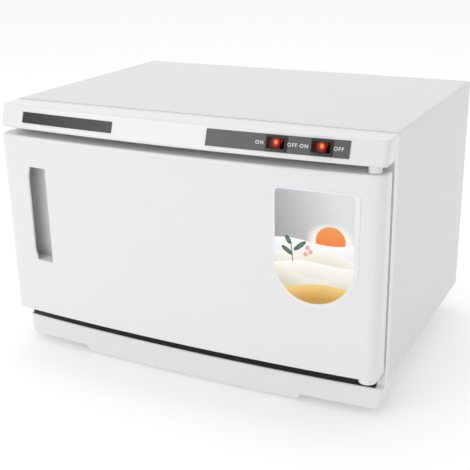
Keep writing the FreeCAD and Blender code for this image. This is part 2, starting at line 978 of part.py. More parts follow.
def make_switch(label, across):
    body = new_body(label)
    half_bezel = size.bezel_width / 2
    half_high = size.bezel_height / 2
    half_body = size.switch_body_width / 2
    half_tall = size.switch_body_height / 2
    bezel = rounded_loop(-half_bezel, half_bezel, -half_high, half_high,
                         size.bezel_corner)
    pad(body, "XZ", [bezel], -size.bezel_rise, 0)
    casing = rectangle(-half_body, half_body, -half_tall, half_tall)
    pad(body, "XZ", [casing], 0, size.switch_body_depth)
    half_well = size.well_length / 2
    well_tall = size.rocker_width / 2 + size.well_play
    well = rectangle(-half_well, half_well, -well_tall, well_tall)
    pocket(body, "XZ", [well], -size.bezel_rise, size.well_depth)
    bearing = (0, size.pivot_depth, size.trunnion_radius + size.trunnion_clearance)
    depth = size.rocker_width / 2 + size.trunnion_reach + size.trunnion_clearance
    pocket(body, "XY", [bearing], -depth, depth)
    tab_end = size.switch_body_depth + size.tab_length
    thin = size.tab_thickness / 2
    for turn in (-1, 0, 1):
        place = turn * size.tab_pitch
        tab = rectangle(place - thin, place + thin, -size.tab_width / 2, size.tab_width / 2)
        pad(body, "XZ", [tab], size.switch_body_depth, tab_end)
    body.Placement = switch_place(across)


def make_rocker(label, across):
    body = new_body(label)
    half = size.rocker_length / 2
    foot = half + size.rocker_taper
    crown = -size.rocker_crown
    valley = crown + size.rocker_dish
    wide = size.rocker_width / 2
    shoulder = crown + size.rocker_shoulder
    inset = foot - size.rocker_foot_inset
    heel = size.rocker_heel_half
    section = [
        (-half, crown),
        (0, valley, size.dish_radius),
        (half, crown, size.dish_radius),
        (foot, shoulder),
        (inset, -size.rocker_foot_rise),
        (heel, size.rocker_heel),
        (-heel, size.rocker_heel),
        (-inset, -size.rocker_foot_rise),
        (-foot, shoulder),
    ]
    pad(body, "XY", [section], -wide, wide)
    reach = wide + size.trunnion_reach
    pad(body, "XY", [(0, 0, size.trunnion_radius)], -reach, reach)
    tilt = Rotation(Vector(0, 0, 1), -size.rocker_tilt.number)
    pivot = Placement(Vector(0, size.pivot_depth.number, 0), tilt)
    body.Placement = switch_place(across).multiply(pivot)


# Chamber: folded aluminium box with a flange at its mouth and a bead along each side

def make_liner():
    body = new_body("chamber_liner")
    skin = size.liner_sheet
    out = chamber_half + skin
    low = size.chamber_floor - skin
    high = chamber_roof + skin
    turn = size.chamber_corner
    edge = size.liner_flange
    pad(body, "XZ", [rounded_loop(-out, out, low, high, turn + skin)], liner_front,
        liner_rear + skin)
    flange = rounded_loop(-out - edge, out + edge, low - edge, high + edge, turn + edge)
    pad(body, "XZ", [flange], liner_front, liner_front + skin)
    bead_z = size.chamber_floor + size.rack_height
    near = liner_front + size.bead_front_gap
    far = liner_rear - size.bead_rear_gap
    inside = rounded_loop(-chamber_half, chamber_half, size.chamber_floor, chamber_roof, turn)
    pocket(body, "XZ", [inside], liner_front, liner_rear)
    bead = size.bead_radius
    for sign in (-1, 1):
        middle = sign * chamber_half
        inward = sign * (chamber_half - bead)
        ridge = [
            (middle, bead_z - bead),
            (inward, bead_z, -sign * bead),
            (middle, bead_z + bead, -sign * bead),
        ]
        pad(body, "XZ", [ridge], near, far)
        wide = bead - skin
        hollow = [
            (sign * (chamber_half + skin), bead_z - wide),
            (sign * chamber_half, bead_z - wide),
            (sign * (chamber_half - wide), bead_z, -sign * wide),
            (sign * chamber_half, bead_z + wide, -sign * wide),
            (sign * (chamber_half + skin), bead_z + wide),
        ]
        pocket(body, "XZ", [hollow], near + skin, far - skin)


def make_insulation():
    gap = size.insulation_gap
    skin = size.liner_sheet
    thick = size.insulation
    out = chamber_half + skin + thick
    bottom = size.chamber_floor - skin - thick
    near = liner_front + skin + gap
    far = liner_rear + skin + thick
    outer = block("insulation_block", (-out, out), (near, far), (bottom, chamber_roof + skin + thick))
    sides = chamber_half + skin + gap
    inner = block("insulation_hollow", (-sides, sides), (near - PAST, liner_rear + skin + gap),
                  (size.chamber_floor - skin - size.heater_thickness - gap,
                   chamber_roof + skin + gap))
    low = size.chamber_floor + size.window_rise
    window = block("insulation_window", (size.window_left, size.window_right),
                   (liner_rear, far + PAST), (low, low + size.window_height))
    sub_part(cut("insulation_cut", outer, inner, window), "chamber_insulation")


def make_heater():
    body = new_body("heater_mat")
    top = size.chamber_floor - size.liner_sheet
    low = top - size.heater_thickness
    base = low + size.heater_rib_height
    half = chamber_half - size.heater_margin
    near = liner_front + size.heater_margin
    far = liner_rear - size.heater_margin
    pad(body, "XY", [rounded_loop(-half, half, near, far, size.heater_corner)], base, top)
    reach = half - size.heater_corner
    start = near + size.heater_rib_inset
    rib = rounded_loop(-reach, reach, start, start + size.heater_rib,
                       size.heater_rib / 2 * SLOT_END)
    feature = pad(body, "XY", [rib], low, base)
    repeat(body, feature, "Y_Axis", size.heater_rib_pitch, size.heater_ribs)


def make_thermostat():
    body = new_body("thermostat")
    back = liner_rear + size.liner_sheet
    x = size.thermostat_place
    z = size.chamber_floor + size.thermostat_rise
    top = back + size.thermostat_depth
    pad(body, "XZ", [(x, z, size.thermostat_radius)], back, top)
    long = size.thermostat_ear
    short = size.thermostat_radius / 2
    ears = rounded_loop(x - long, x + long, z - short, z + short, short * SLOT_END)
    pad(body, "XZ", [ears], back, back + size.liner_sheet)
    thin = size.tab_thickness / 2
    high = size.tab_width / 2
    for turn in (-1, 1):
        place = x + turn * size.thermostat_tab
        tab = rectangle(place - thin, place + thin, z - high, z + high)
        pad(body, "XZ", [tab], top, top + size.tab_length)


def make_thermal_fuse():
    radius = size.fuse_radius
    x = size.fuse_place
    y = liner_rear + size.liner_sheet + radius
    z = size.chamber_floor + size.fuse_rise
    reach = size.fuse_wire_reach
    sleeve = rod("fuse_sleeve", x, y, z, radius, size.fuse_length)
    leads = rod("fuse_leads", x, y, z - reach, size.fuse_wire, size.fuse_length + 2 * reach)
    sub_part(fuse("fuse_whole", sleeve, leads), "thermal_fuse")


# Ultraviolet tube, its two sockets and the slotted guard under the roof

def make_lamp():
    lamp_z = chamber_roof - size.lamp_drop
    half = size.tube_length / 2
    radius = size.tube_radius
    body = new_body("uv_lamp")
    cap = half - size.lamp_cap
    profile = [
        (-half, 0),
        (-cap, 0),
        (-cap, radius - size.tube_wall),
        (cap, radius - size.tube_wall),
        (cap, 0),
        (half, 0),
        (half, radius),
        (-half, radius),
    ]
    revolved(body, "XZ", profile, "H_Axis")
    spread = size.lamp_pin_spread
    pins = [(spread * turn, 0, size.lamp_pin_radius) for turn in (-1, 1)]
    pin_end = half + size.lamp_pin_length
    pad(body, "YZ", pins, half, pin_end)
    pad(body, "YZ", pins, -pin_end, -half)
    place_at(body, 0, lamp_y, lamp_z)

    sockets = []
    thick = size.socket_thickness
    wide = size.socket_width / 2
    low_z = lamp_z - radius - size.socket_drop
    near = half + size.socket_play
    hole = size.lamp_pin_radius + size.lamp_pin_play
    for ends in ((near, near + thick), (-near - thick, -near)):
        solid = block("socket_block", ends, (lamp_y - wide, lamp_y + wide),
                      (low_z, chamber_roof))
        solid = rounded("socket_round", solid, size.socket_corner, lambda a, b:
                        same(a.z, low_z) and same(b.z, low_z) and abs(a.x - b.x) > PAST)
        holes = [rod("socket_hole", ends[0] - PAST, lamp_y + spread * turn, lamp_z, hole,
                     thick + 2 * PAST, "X") for turn in (-1, 1)]
        sockets.append(cut("socket", solid, *holes))
    sub_part(compound("sockets", sockets), "lamp_sockets")

    guard = new_body("lamp_guard")
    wide = size.guard_width / 2
    skin = size.guard_sheet
    bottom = chamber_roof - size.guard_depth
    foot = wide + size.guard_flange
    channel = [
        (-foot, chamber_roof - skin),
        (-wide, chamber_roof - skin),
        (-wide, bottom),
        (wide, bottom),
        (wide, chamber_roof - skin),
        (foot, chamber_roof - skin),
        (foot, chamber_roof),
        (wide - skin, chamber_roof),
        (wide - skin, bottom + skin),
        (-wide + skin, bottom + skin),
        (-wide + skin, chamber_roof),
        (-foot, chamber_roof),
    ]
    channel = [(lamp_y + across, up) for across, up in channel]
    reach = half + thick + size.guard_margin
    pad(guard, "YZ", [channel], -reach, reach)
    slots = size.guard_slots
    pitch = 2 * (reach - size.guard_end) / slots
    start = size.guard_end + pitch / 2 - reach
    half_slot = size.guard_slot / 2
    long = wide - size.guard_slot_inset
    slot = rounded_loop(start - half_slot, start + half_slot, lamp_y - long, lamp_y + long,
                        half_slot * SLOT_END)
    feature = pocket(guard, "XY", [slot], bottom, bottom + skin)
    repeat(guard, feature, "X_Axis", pitch, slots)


def compound(name, parts):
    """Several separate solids in one piece group."""
    thing = doc.addObject("Part::Compound", name)
    thing.Links = list(parts)
    return thing


# Wire rack on the side beads, and the tray on the chamber's floor

def rack_level():
    """Height of the rack's wires, where the rim's wire rests on the rounded side beads."""
    reach = size.bead_radius + size.rack_wire
    aside = size.rack_wire + size.rack_play
    bead_z = size.chamber_floor + size.rack_height
    return bead_z + root(reach * reach - aside * aside) + size.rack_lift


def make_rack():
    body = new_body("towel_rack")
    side = chamber_half - size.rack_play - size.rack_wire
    near = liner_front + size.rack_front_gap
    far = liner_rear - size.rack_rear_gap
    level = rack_level()
    path = new_sketch(body, "XY", level)
    outline(path, rounded_loop(-side, side, near, far, size.rack_corner))
    section = new_sketch(body, "YZ", 0)
    circle(section, near, level, size.rack_wire)
    hoop = body.newObject("PartDesign::AdditivePipe", "rack_hoop")
    hoop.Profile = section
    hoop.Spine = (path, [f"Edge{number}" for number in range(1, 9)])
    pitch = 2 * side / (size.rack_rods + 1)
    rods = pad(body, "XZ", [(-side + pitch, level, size.rack_rod)], near, far)
    repeat(body, rods, "X_Axis", pitch, size.rack_rods)


def make_tray():
    body = new_body("drip_tray")
    side = chamber_half - size.chamber_corner
    near = liner_front + size.tray_play
    far = liner_rear - size.tray_play
    low = size.chamber_floor
    skin = size.liner_sheet
    turn = size.tray_corner
    pad(body, "XY", [rounded_loop(-side, side, near, far, turn)], low, low + size.tray_depth)
    inner = rounded_loop(-side + skin, side - skin, near + skin, far - skin, turn - skin)
    pocket(body, "XY", [inner], low + skin, low + size.tray_depth)


# Door: moulded shell, recess cup, foam, inner panel, seal, magnets and bushings

def recess_limits():
    left = -half_width + size.recess_left
    right = left + size.recess_width
    high = door_top - size.recess_drop
    low = high - size.recess_height
    face = surface_y((left + right) / 2, door_reach)
    return left, right, low, high, face


def recess_hole(name, undercut):
    """The finger recess: a curved right wall, and room behind the front wall at its left."""
    left, right, low, high, face = recess_limits()
    floor = face + size.recess_depth
    outside = face - size.recess_depth
    plan = [
        (left - undercut, outside),
        (right, outside),
        (right, face),
        (right - size.recess_depth, floor, size.recess_depth),
        (left - undercut, floor),
    ]
    return prism(name, "XY", plan, low, high)


def recess_window():
    """The recess's mouth in the front wall, its left corners cut off at a slant."""
    left, right, low, high, face = recess_limits()
    across = size.recess_cut_width
    tall = size.recess_cut_height
    wedges = []
    for edge, way in ((low, 1), (high, -1)):
        corner = [(left, edge), (left + across, edge), (left, edge + way * tall)]
        wedges.append(prism("recess_wedge", "XZ", corner, face - size.recess_depth - PAST,
                            face + size.recess_depth))
    return cut("recess_mouth", recess_hole("recess_opening", 0), *wedges)


def recess_block(name, wall, back):
    """Block round the finger recess, larger than it by a wall."""
    left, right, low, high, face = recess_limits()
    nose = face - size.recess_depth
    return block(name, (left - size.undercut - wall, right + wall), (nose, back),
                 (low - wall, high + wall))


def door_block(name, inset, back):
    """The door's bowed outside, or a smaller copy, with strongly rounded upright edges."""
    solid = bowed(f"{name}_square", half_width - inset, door_reach - inset, 0, back,
                  size.door_underside + inset, door_top - inset)
    edge = number_of(half_width - inset)
    back_y = number_of(back)
    return rounded(name, solid, size.door_side_edge - inset, lambda a, b:
                   same(abs(a.x), edge) and same(a.x, b.x) and same(a.y, b.y)
                   and a.y < back_y - AHEAD)


def bushing_places():
    return {
        "upper_bushing": door_top - size.bushing_length,
        "lower_bushing": size.door_underside,
    }


def make_door_shell():
    outer = door_block("door_outside", 0, door_back)
    back_y = number_of(door_back)
    outer = rounded("door_rounded", outer, size.door_edge, lambda a, b:
                    same(a.z, b.z) and not (same(a.y, back_y) and same(b.y, back_y)))
    wall = size.door_wall
    hollow = door_block("door_hollow", wall, door_back + PAST)
    parts = [cut("door_walls", outer, hollow)]
    tools = [recess_window()]
    sleeve = size.pin_radius + size.pin_clearance + size.bushing_wall
    for name, low_z in bushing_places().items():
        boss = rod(f"{name}_boss", hinge_x, hinge_y, low_z, sleeve + size.boss_wall,
                   size.bushing_length)
        within = door_block(f"{name}_limit", wall / 2, door_back - wall)
        parts.append(common(f"{name}_post", boss, within))
        tools.append(rod(f"{name}_hole", hinge_x, hinge_y, low_z - PAST, sleeve,
                         size.bushing_length + 2 * PAST))
    sub_part(cut("door_shell", fuse("door_solid", *parts), *tools), "door_shell")


def make_recess_cup():
    """Moulded cup bonded behind the front wall's window; fingers pull the window's left side."""
    wall = size.door_wall
    floor = recess_limits()[-1] + size.recess_depth
    outside = recess_block("cup_outside", wall, floor + wall)
    walls = common("cup_walls", outside, door_block("cup_limit", wall, door_back))
    sub_part(cut("cup_cut", walls, recess_hole("cup_space", size.undercut)), "recess_cup")


def make_bushings():
    for name, low_z in bushing_places().items():
        body = new_body(name)
        bore = size.pin_radius + size.pin_clearance
        sleeve = bore + size.bushing_wall
        pad(body, "XY", [(hinge_x, hinge_y, sleeve), (hinge_x, hinge_y, bore)], low_z,
            low_z + size.bushing_length)


def panel_screw_places():
    side = half_width - size.door_wall - size.panel_screw_side
    low = size.door_underside + size.door_wall + size.panel_screw_end
    high = door_top - size.door_wall - size.panel_screw_end
    return [(sign * side, level) for sign in (-1, 1) for level in (low, high)]


def magnet_places():
    middle = (size.door_underside + door_top) / 2
    x = -half_width + size.door_wall + size.magnet_inset
    return [(x, middle - size.magnet_spread), (x, middle + size.magnet_spread)]


def seal_ring(width_in, width_out):
    """Outer and inner outline of a ring that lies round the mouth."""
    margin = size.seal_margin
    rings = []
    for grow in (width_out, width_in):
        out = margin + grow
        rings.append(rounded_loop(-chamber_half - out, chamber_half + out,
                                  size.chamber_floor - out, chamber_roof + out,
                                  size.chamber_corner + out))
    return rings


def make_door_panel():
    body = new_body("door_inner_panel")
    gap = size.door_wall + size.panel_inset
    side = half_width - gap
    low = size.door_underside + gap
    high = door_top - gap
    inner = door_back - size.door_wall
    holes = [(x, z, size.screw_radius + size.screw_clearance) for x, z in panel_screw_places()]
    for x, z in magnet_places():
        half = size.magnet_width / 2
        tall = size.magnet_height / 2
        holes.append(rectangle(x - half, x + half, z - tall, z + tall))
    plate = rounded_loop(-side, side, low, high, size.panel_corner)
    pad(body, "XZ", [plate, *holes], inner, door_back)
    margin = size.pillow_margin
    across = chamber_half - margin
    pillow = rounded_loop(-across, across, size.chamber_floor + margin, chamber_roof - margin,
                          size.chamber_corner)
    pad(body, "XZ", [pillow], door_back, door_back + size.pillow_height)
    crest = number_of(door_back + size.pillow_height)
    soften(body, size.pillow_edge, lambda a, b: same(a.y, crest) and same(b.y, crest))
    pocket(body, "XZ", seal_ring(0, size.seal_width), door_back - size.seal_groove, door_back)


def make_door_foam():
    gap = size.foam_gap
    keep = size.door_wall + gap
    solid = door_block("foam_block", keep, door_back - keep)
    tools = [recess_block("foam_cup", keep, door_back)]
    radius = size.pin_radius + size.pin_clearance + size.bushing_wall + size.boss_wall + gap
    for name, low_z in bushing_places().items():
        tools.append(block(f"{name}_foam_gap", (hinge_x - radius, half_width),
                           (front - door_reach - size.bow, door_back),
                           (low_z - PAST, low_z + size.bushing_length + PAST)))
    sub_part(cut("foam_cut", solid, *tools), "door_foam")


def make_seal():
    body = new_body("door_gasket")
    foot = door_back - size.seal_groove
    mid = door_back + size.seal_foot
    crest = landing - size.seal_gap
    play = size.seal_play
    inset = size.seal_lip_inset
    pad(body, "XZ", seal_ring(play, size.seal_width - play), foot, mid)
    pad(body, "XZ", seal_ring(inset, size.seal_width - inset), mid, crest)
    level = number_of(crest)
    soften(body, size.seal_edge, lambda a, b: same(a.y, level) and same(b.y, level))


def make_magnets():
    half = size.magnet_width / 2 - size.magnet_play
    tall = size.magnet_height / 2 - size.magnet_play
    face = landing - size.catch_thickness - size.catch_gap
    magnets = [block("magnet", (x - half, x + half), (door_back - size.door_wall, face),
                     (z - tall, z + tall)) for x, z in magnet_places()]
    sub_part(compound("magnets", magnets), "door_magnets")
    wide = size.catch_width / 2
    high = size.catch_height / 2
    hole = size.screw_radius + size.screw_clearance
    plates = []
    for x, z in magnet_places():
        plate = block("catch", (x - wide, x + wide), (landing - size.catch_thickness, landing),
                      (z - high, z + high))
        reach = high - size.catch_screw_inset
        drill = [rod("catch_hole", x, landing - size.catch_thickness - PAST, z + way * reach,
                     hole, size.catch_thickness + 2 * PAST, "Y") for way in (-1, 1)]
        plates.append(cut("catch_plate", plate, *drill))
    sub_part(compound("catches", plates), "catch_plates")


def catch_screw_places():
    reach = size.catch_height / 2 - size.catch_screw_inset
    return [(x, z + way * reach) for x, z in magnet_places() for way in (-1, 1)]


def make_sticker():
    right = half_width - size.sticker_right
    left = right - size.sticker_width
    high = door_top - size.sticker_drop
    low = high - size.sticker_height
    turn = size.sticker_corner
    belly = size.sticker_width / 2
    points = [
        (left, low + belly),
        ((left + right) / 2, low, belly),
        (right, low + belly, belly),
        (right, high - turn),
        (right - turn, high, turn),
        (left + turn, high),
        (left, high - turn, turn),
    ]
    film = size.sticker_film
    nose = front - door_reach - size.bow - film - PAST
    shape = prism("sticker_outline", "XZ", points, nose, front - door_reach + PAST)
    outer = bowed("sticker_outer", half_width, door_reach + film, 0, door_back,
                  size.door_underside, door_top)
    inner = bowed("sticker_inner", half_width + PAST, door_reach, 0, door_back + PAST,
                  size.door_underside - PAST, door_top + PAST)
    skin = cut("sticker_skin", outer, inner)
    sub_part(common("sticker_film_cut", skin, shape), "door_sticker")


# Hinges: a boss with its pin under the fascia, and an arm with its pin under the door

def arm_screw_places():
    arm_low = size.door_underside - size.hinge_play - size.hinge_arm
    level = arm_low - size.arm_screw_drop
    return [(hinge_x + turn * size.arm_screw_spread, level) for turn in (-1, 1)]


def make_upper_hinge():
    body = new_body("upper_hinge")
    under = door_top + size.hinge_play
    pin = (hinge_x, hinge_y, size.pin_radius)
    pad(body, "XY", [(hinge_x, hinge_y, size.hinge_boss)], under, fascia_bottom)
    pad(body, "XY", [pin], under - size.pin_length, under)
    pad(body, "XY", [pin], fascia_bottom, fascia_bottom + size.frame_wall + size.hinge_stud)

    nut = doc.addObject("Part::Prism", "nut_prism")
    nut.Polygon = 6
    bind(nut, Circumradius=size.nut_reach, Height=size.nut_height)
    place_at(nut, hinge_x, hinge_y, fascia_bottom + size.frame_wall)
    bore = rod("nut_bore", hinge_x, hinge_y, fascia_bottom, size.pin_radius + size.pin_clearance,
               size.frame_wall + size.nut_height + PAST)
    sub_part(cut("nut_cut", nut, bore), "hinge_nut")


def make_lower_hinge():
    body = new_body("lower_hinge")
    top = size.door_underside - size.hinge_play
    low = top - size.hinge_arm
    eye = size.hinge_eye
    arm = [
        (hinge_x - eye, landing),
        (hinge_x - eye, hinge_y),
        (hinge_x, hinge_y - eye, eye),
        (hinge_x + eye, hinge_y, eye),
        (hinge_x + eye, landing),
    ]
    pad(body, "XY", [arm], low, top)
    half_leaf = size.hinge_leaf_width / 2
    leaf = rectangle(hinge_x - half_leaf, hinge_x + half_leaf, low - size.hinge_leaf_height, low)
    screws = [(x, z, size.screw_radius + size.screw_clearance) for x, z in arm_screw_places()]
    pad(body, "XZ", [leaf, *screws], landing - size.hinge_leaf, landing)
    pad(body, "XY", [(hinge_x, hinge_y, size.pin_radius)], top, top + size.pin_length)


# Feet: moulded cups with a broad rim, screwed up into the base pan

def make_feet():
    for label, (x, y) in foot_places().items():
        body = new_body(label)
        top = pan_floor
        web = top - size.foot_web
        rim = size.foot_rim
        slope = size.foot_rim_slope
        edge = size.foot_outer_edge
        profile = [
            (0, web),
            (size.foot_well, web),
            (size.foot_well, web - size.foot_well_step),
            (size.foot_opening, size.foot_inner_edge),
            (size.foot_opening + size.foot_inner_edge, 0),
            (size.foot_radius - edge, 0),
            (size.foot_radius, edge),
            (size.foot_radius, rim),
            (size.foot_radius - slope, rim + slope),
            (size.foot_neck, top - size.foot_collar),
            (size.foot_neck, top),
            (0, top),
        ]
        revolved(body, "XZ", profile, "V_Axis")
        hole = size.screw_radius + size.screw_clearance
        pocket(body, "XY", [(0, 0, hole)], web - PAST, top)
        place_at(body, x, y, 0)


# Electrical parts on the rear panel

def make_ballast():
    body = new_body("lamp_ballast")
    wall = rear - size.sheet
    x = size.ballast_place
    half = size.ballast_length / 2
    z = ballast_height
    tall = size.ballast_width / 2
    case = rounded_loop(x - half, x + half, z - tall, z + tall, size.sheet)
    pad(body, "XZ", [case], wall - size.ballast_depth, wall)
    long = half + size.ballast_ear
    short = tall - size.ballast_ear_inset
    ears = rounded_loop(x - long, x + long, z - short, z + short, size.ballast_ear_inset)
    away = half + size.ballast_ear / 2
    hole = size.screw_radius + size.screw_clearance
    holes = [(x + turn * away, z, hole) for turn in (-1, 1)]
    pad(body, "XZ", [ears, *holes], wall - size.ballast_ear_sheet, wall)


def make_starter():
    body = new_body("lamp_starter")
    wall = rear - size.sheet
    radius = size.starter_radius
    half = radius + size.sheet
    x = size.starter_place
    low = ballast_height - size.starter_drop
    pad(body, "XY", [(x, wall - half, radius)], low, low + size.starter_length)
    foot = rectangle(x - half, x + half, wall - 2 * half, wall)
    pad(body, "XY", [foot], low - size.starter_foot, low)


def make_terminal_block():
    body = new_body("terminal_block")
    wall = rear - size.sheet
    x = power_switch_x - size.terminal_left
    half = size.terminal_width / 2
    z = size.gland_height
    tall = size.terminal_height / 2
    deep = wall - size.terminal_depth
    pad(body, "XZ", [rectangle(x - half, x + half, z - tall, z + tall)], deep, wall)
    pitch = size.terminal_width / size.terminal_poles
    pole = (x - half + pitch / 2, z + size.pole_rise, size.pole_radius)
    feature = pocket(body, "XZ", [pole], deep, deep + size.pole_depth)
    repeat(body, feature, "X_Axis", pitch, size.terminal_poles)


def make_harness():
    """Bundle of wires from behind the power switch back and down to the terminal block."""
    body = new_body("wiring_harness")
    along = power_switch_x
    reach = size.switch_body_depth + size.tab_length + PAST
    tab_end = slanted(along, size.switch_drop).multVec(Vector(0, reach.number, 0))
    start = as_size(round(tab_end.y, 2))
    level = as_size(round(tab_end.z, 2))
    down = rear - size.sheet - size.terminal_depth / 2
    bottom = size.gland_height + size.terminal_height / 2
    turn = size.harness_bend
    path = new_sketch(body, "YZ", along)
    open_line(path, [(start, level), (down - turn, level), (down, level - turn, -turn),
                     (down, bottom)])
    section = new_sketch(body, "XY", bottom)
    circle(section, along, down, size.harness_radius)
    bundle = body.newObject("PartDesign::AdditivePipe", "harness_bundle")
    bundle.Profile = section
    bundle.Spine = (path, ["Edge1", "Edge2", "Edge3"])


def make_gland():
    body = new_body("cord_gland")
    bore = size.gland_bore
    tail = size.gland_tail - size.screw_clearance
    edge = size.gland_tail_edge
    flange = size.gland_flange
    nose = size.gland_flange_edge
    profile = [
        (bore, -size.gland_reach),
        (bore + size.gland_nose, -size.gland_reach),
        (flange - 2 * nose, -size.gland_flange_depth),
        (flange, -nose),
        (flange - nose, 0),
        (tail, 0),
        (tail, size.gland_tail_length - edge),
        (tail - edge, size.gland_tail_length),
        (bore, size.gland_tail_length),
    ]
    revolved(body, "XZ", profile, "V_Axis")
    body.Placement = Placement(Vector(), Rotation(Vector(1, 0, 0), 90))
    place_at(body, gland_x, rear, size.gland_height)


# Screws in groups, each a pan head on a plain shank

def screw(x, y, z, way, length):
    """Screw whose head lies on the face at the given point. The way is where its shank points."""
    head = size.screw_head_height
    if way in ("+Y", "-Y"):
        ahead = way == "+Y"
        head_start = y - head if ahead else y
        shank_start = y - head if ahead else y - length
        cap = rod("head", x, head_start, z, size.screw_head, head, "Y")
        shank = rod("shank", x, shank_start, z, size.screw_radius, length + head, "Y")
        rim = number_of(head_start if ahead else y + head)
        crown = rounded("crown", cap, size.screw_head_edge,
                        lambda a, b: same(a.y, rim) and same(b.y, rim))
    else:
        cap = rod("head", x, y, z - head, size.screw_head, head)
        shank = rod("shank", x, y, z - head, size.screw_radius, length + head)
        crown = cap
    return fuse("screw", crown, shank)


def make_screws():
    short = size.sheet_screw_length
    leaf_face = landing - size.hinge_leaf
    catch_face = landing - size.catch_thickness
    web = pan_floor - size.foot_web
    sets = {
        "rear_panel_screws": [screw(x, rear, z, "-Y", short) for x, z in screw_places_rear()],
        "door_panel_screws": [screw(x, door_back, z, "-Y", size.door_wall)
                              for x, z in panel_screw_places()],
        "lower_hinge_screws": [screw(x, leaf_face, z, "+Y", size.screw_length)
                               for x, z in arm_screw_places()],
        "catch_plate_screws": [screw(x, catch_face, z, "+Y", short)
                               for x, z in catch_screw_places()],
        "foot_screws": [screw(x, y, web, "+Z", size.foot_screw_length)
                        for x, y in foot_places().values()],
    }
    for label, screws in sets.items():
        sub_part(compound(f"{label}_group", screws), label)


make_outer_shell()
make_rear_panel()
make_base_pan()
make_front_frame()
make_plates()
make_switch("power_switch_housing", power_switch_x)
make_switch("lamp_switch_housing", lamp_switch_x)
make_rocker("power_rocker", power_switch_x)
make_rocker("lamp_rocker", lamp_switch_x)
make_liner()
make_insulation()
make_heater()
make_thermostat()
make_thermal_fuse()
make_lamp()
make_rack()
make_tray()
make_door_shell()
make_recess_cup()
make_bushings()
make_door_panel()
make_door_foam()
make_seal()
make_magnets()
make_sticker()
make_upper_hinge()
make_lower_hinge()
make_feet()
make_ballast()
make_starter()
make_terminal_block()
make_harness()
make_gland()
make_screws()

doc.recompute()
for thing in doc.Objects:
    if "Invalid" in thing.State or "Error" in thing.State:
        raise ValueError(f"{thing.Label} failed: {thing.State}")
for label, thing in pieces.items():
    shape = thing.Shape
    if shape.isNull() or not shape.isValid():
        raise ValueError(f"{label} has no valid shape")
    if not shape.Solids:
        raise ValueError(f"{label} holds no solid")

os.makedirs("parts", exist_ok=True)
for label, thing in pieces.items():
    thing.Shape.exportStep(f"parts/{label}.step")
print(f"{len(pieces)} pieces written")
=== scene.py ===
# %% [markdown]
# # A hot towel cabinet with an ultraviolet lamp
# The cabinet arrives as CAD solids that already have their true size and place. This lesson
# dresses them: it gives every solid a finish, and models anew the pieces whose small forms
# catch the eye, such as switches, screws, wires and the lamp. Lengths are in metres here, X
# runs to the right, Y to the rear and Z up, and the origin is on the table under the cabinet.

# %% Load the cabinet
import bmesh
import bpy
import json
import math
from mathutils import Matrix, Vector

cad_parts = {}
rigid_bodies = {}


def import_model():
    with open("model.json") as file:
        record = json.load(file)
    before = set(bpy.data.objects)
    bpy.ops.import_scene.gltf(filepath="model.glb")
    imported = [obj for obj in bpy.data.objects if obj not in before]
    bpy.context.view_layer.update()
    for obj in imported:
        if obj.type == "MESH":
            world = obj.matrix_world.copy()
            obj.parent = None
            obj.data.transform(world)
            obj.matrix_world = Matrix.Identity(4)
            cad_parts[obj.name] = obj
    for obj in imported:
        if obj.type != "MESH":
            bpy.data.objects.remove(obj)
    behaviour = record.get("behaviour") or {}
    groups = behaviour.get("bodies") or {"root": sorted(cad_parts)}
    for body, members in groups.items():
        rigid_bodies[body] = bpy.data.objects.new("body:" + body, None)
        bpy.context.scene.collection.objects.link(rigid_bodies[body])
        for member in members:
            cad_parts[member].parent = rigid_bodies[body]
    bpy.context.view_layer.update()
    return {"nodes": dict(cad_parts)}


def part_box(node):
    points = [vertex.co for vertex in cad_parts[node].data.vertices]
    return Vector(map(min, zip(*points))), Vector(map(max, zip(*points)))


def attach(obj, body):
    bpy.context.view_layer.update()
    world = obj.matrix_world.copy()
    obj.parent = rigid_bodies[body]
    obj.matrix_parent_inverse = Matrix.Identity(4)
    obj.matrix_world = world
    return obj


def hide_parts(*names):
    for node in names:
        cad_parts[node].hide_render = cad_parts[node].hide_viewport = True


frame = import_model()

MM = 0.001

# %% [markdown]
# ## Working by hand, in code
# An operator works on whatever is selected, so each step starts by deselecting everything.
# These helpers do what a hand does with the mouse: pick one object, open it for editing, pick
# faces or edges by where they are, and apply a modifier as soon as it is set.

# %% Picking objects
def pick(piece):
    """Makes a piece the only selected object."""
    if bpy.context.object and bpy.context.object.mode != "OBJECT":
        bpy.ops.object.mode_set(mode="OBJECT")
    bpy.ops.object.select_all(action="DESELECT")
    if piece:
        piece.select_set(True)
        bpy.context.view_layer.objects.active = piece


def settle(piece):
    """Moves a piece's place, turn and scale into its mesh."""
    pick(piece)
    bpy.ops.object.transform_apply(location=True, rotation=True, scale=True)
    return piece


# %% Picking parts of a mesh
def edit(piece, part="FACE"):
    """Opens a piece for editing with nothing selected."""
    pick(piece)
    bpy.ops.object.mode_set(mode="EDIT")
    bpy.ops.mesh.select_mode(type=part)
    bpy.ops.mesh.select_all(action="DESELECT")


def middle_of(part):
    if isinstance(part, bmesh.types.BMVert):
        return part.co
    if isinstance(part, bmesh.types.BMEdge):
        return (part.verts[0].co + part.verts[1].co) / 2
    return part.calc_center_median()


def choose(part, test):
    """Selects the faces, edges or vertices that pass a test, and says how many."""
    mesh = bmesh.from_edit_mesh(bpy.context.object.data)
    mesh.normal_update()
    group = {"FACE": mesh.faces, "EDGE": mesh.edges, "VERT": mesh.verts}[part]
    found = [item for item in group if test(middle_of(item), item)]
    for item in found:
        item.select_set(True)
    bmesh.update_edit_mesh(bpy.context.object.data)
    return len(found)


def done():
    bpy.ops.object.mode_set(mode="OBJECT")


# %% Modifiers that are applied at once
def modify(piece, kind, **settings):
    pick(piece)
    modifier = piece.modifiers.new(kind.title(), kind)
    for name, value in settings.items():
        setattr(modifier, name, value)
    bpy.ops.object.modifier_apply(modifier=modifier.name)
    return piece


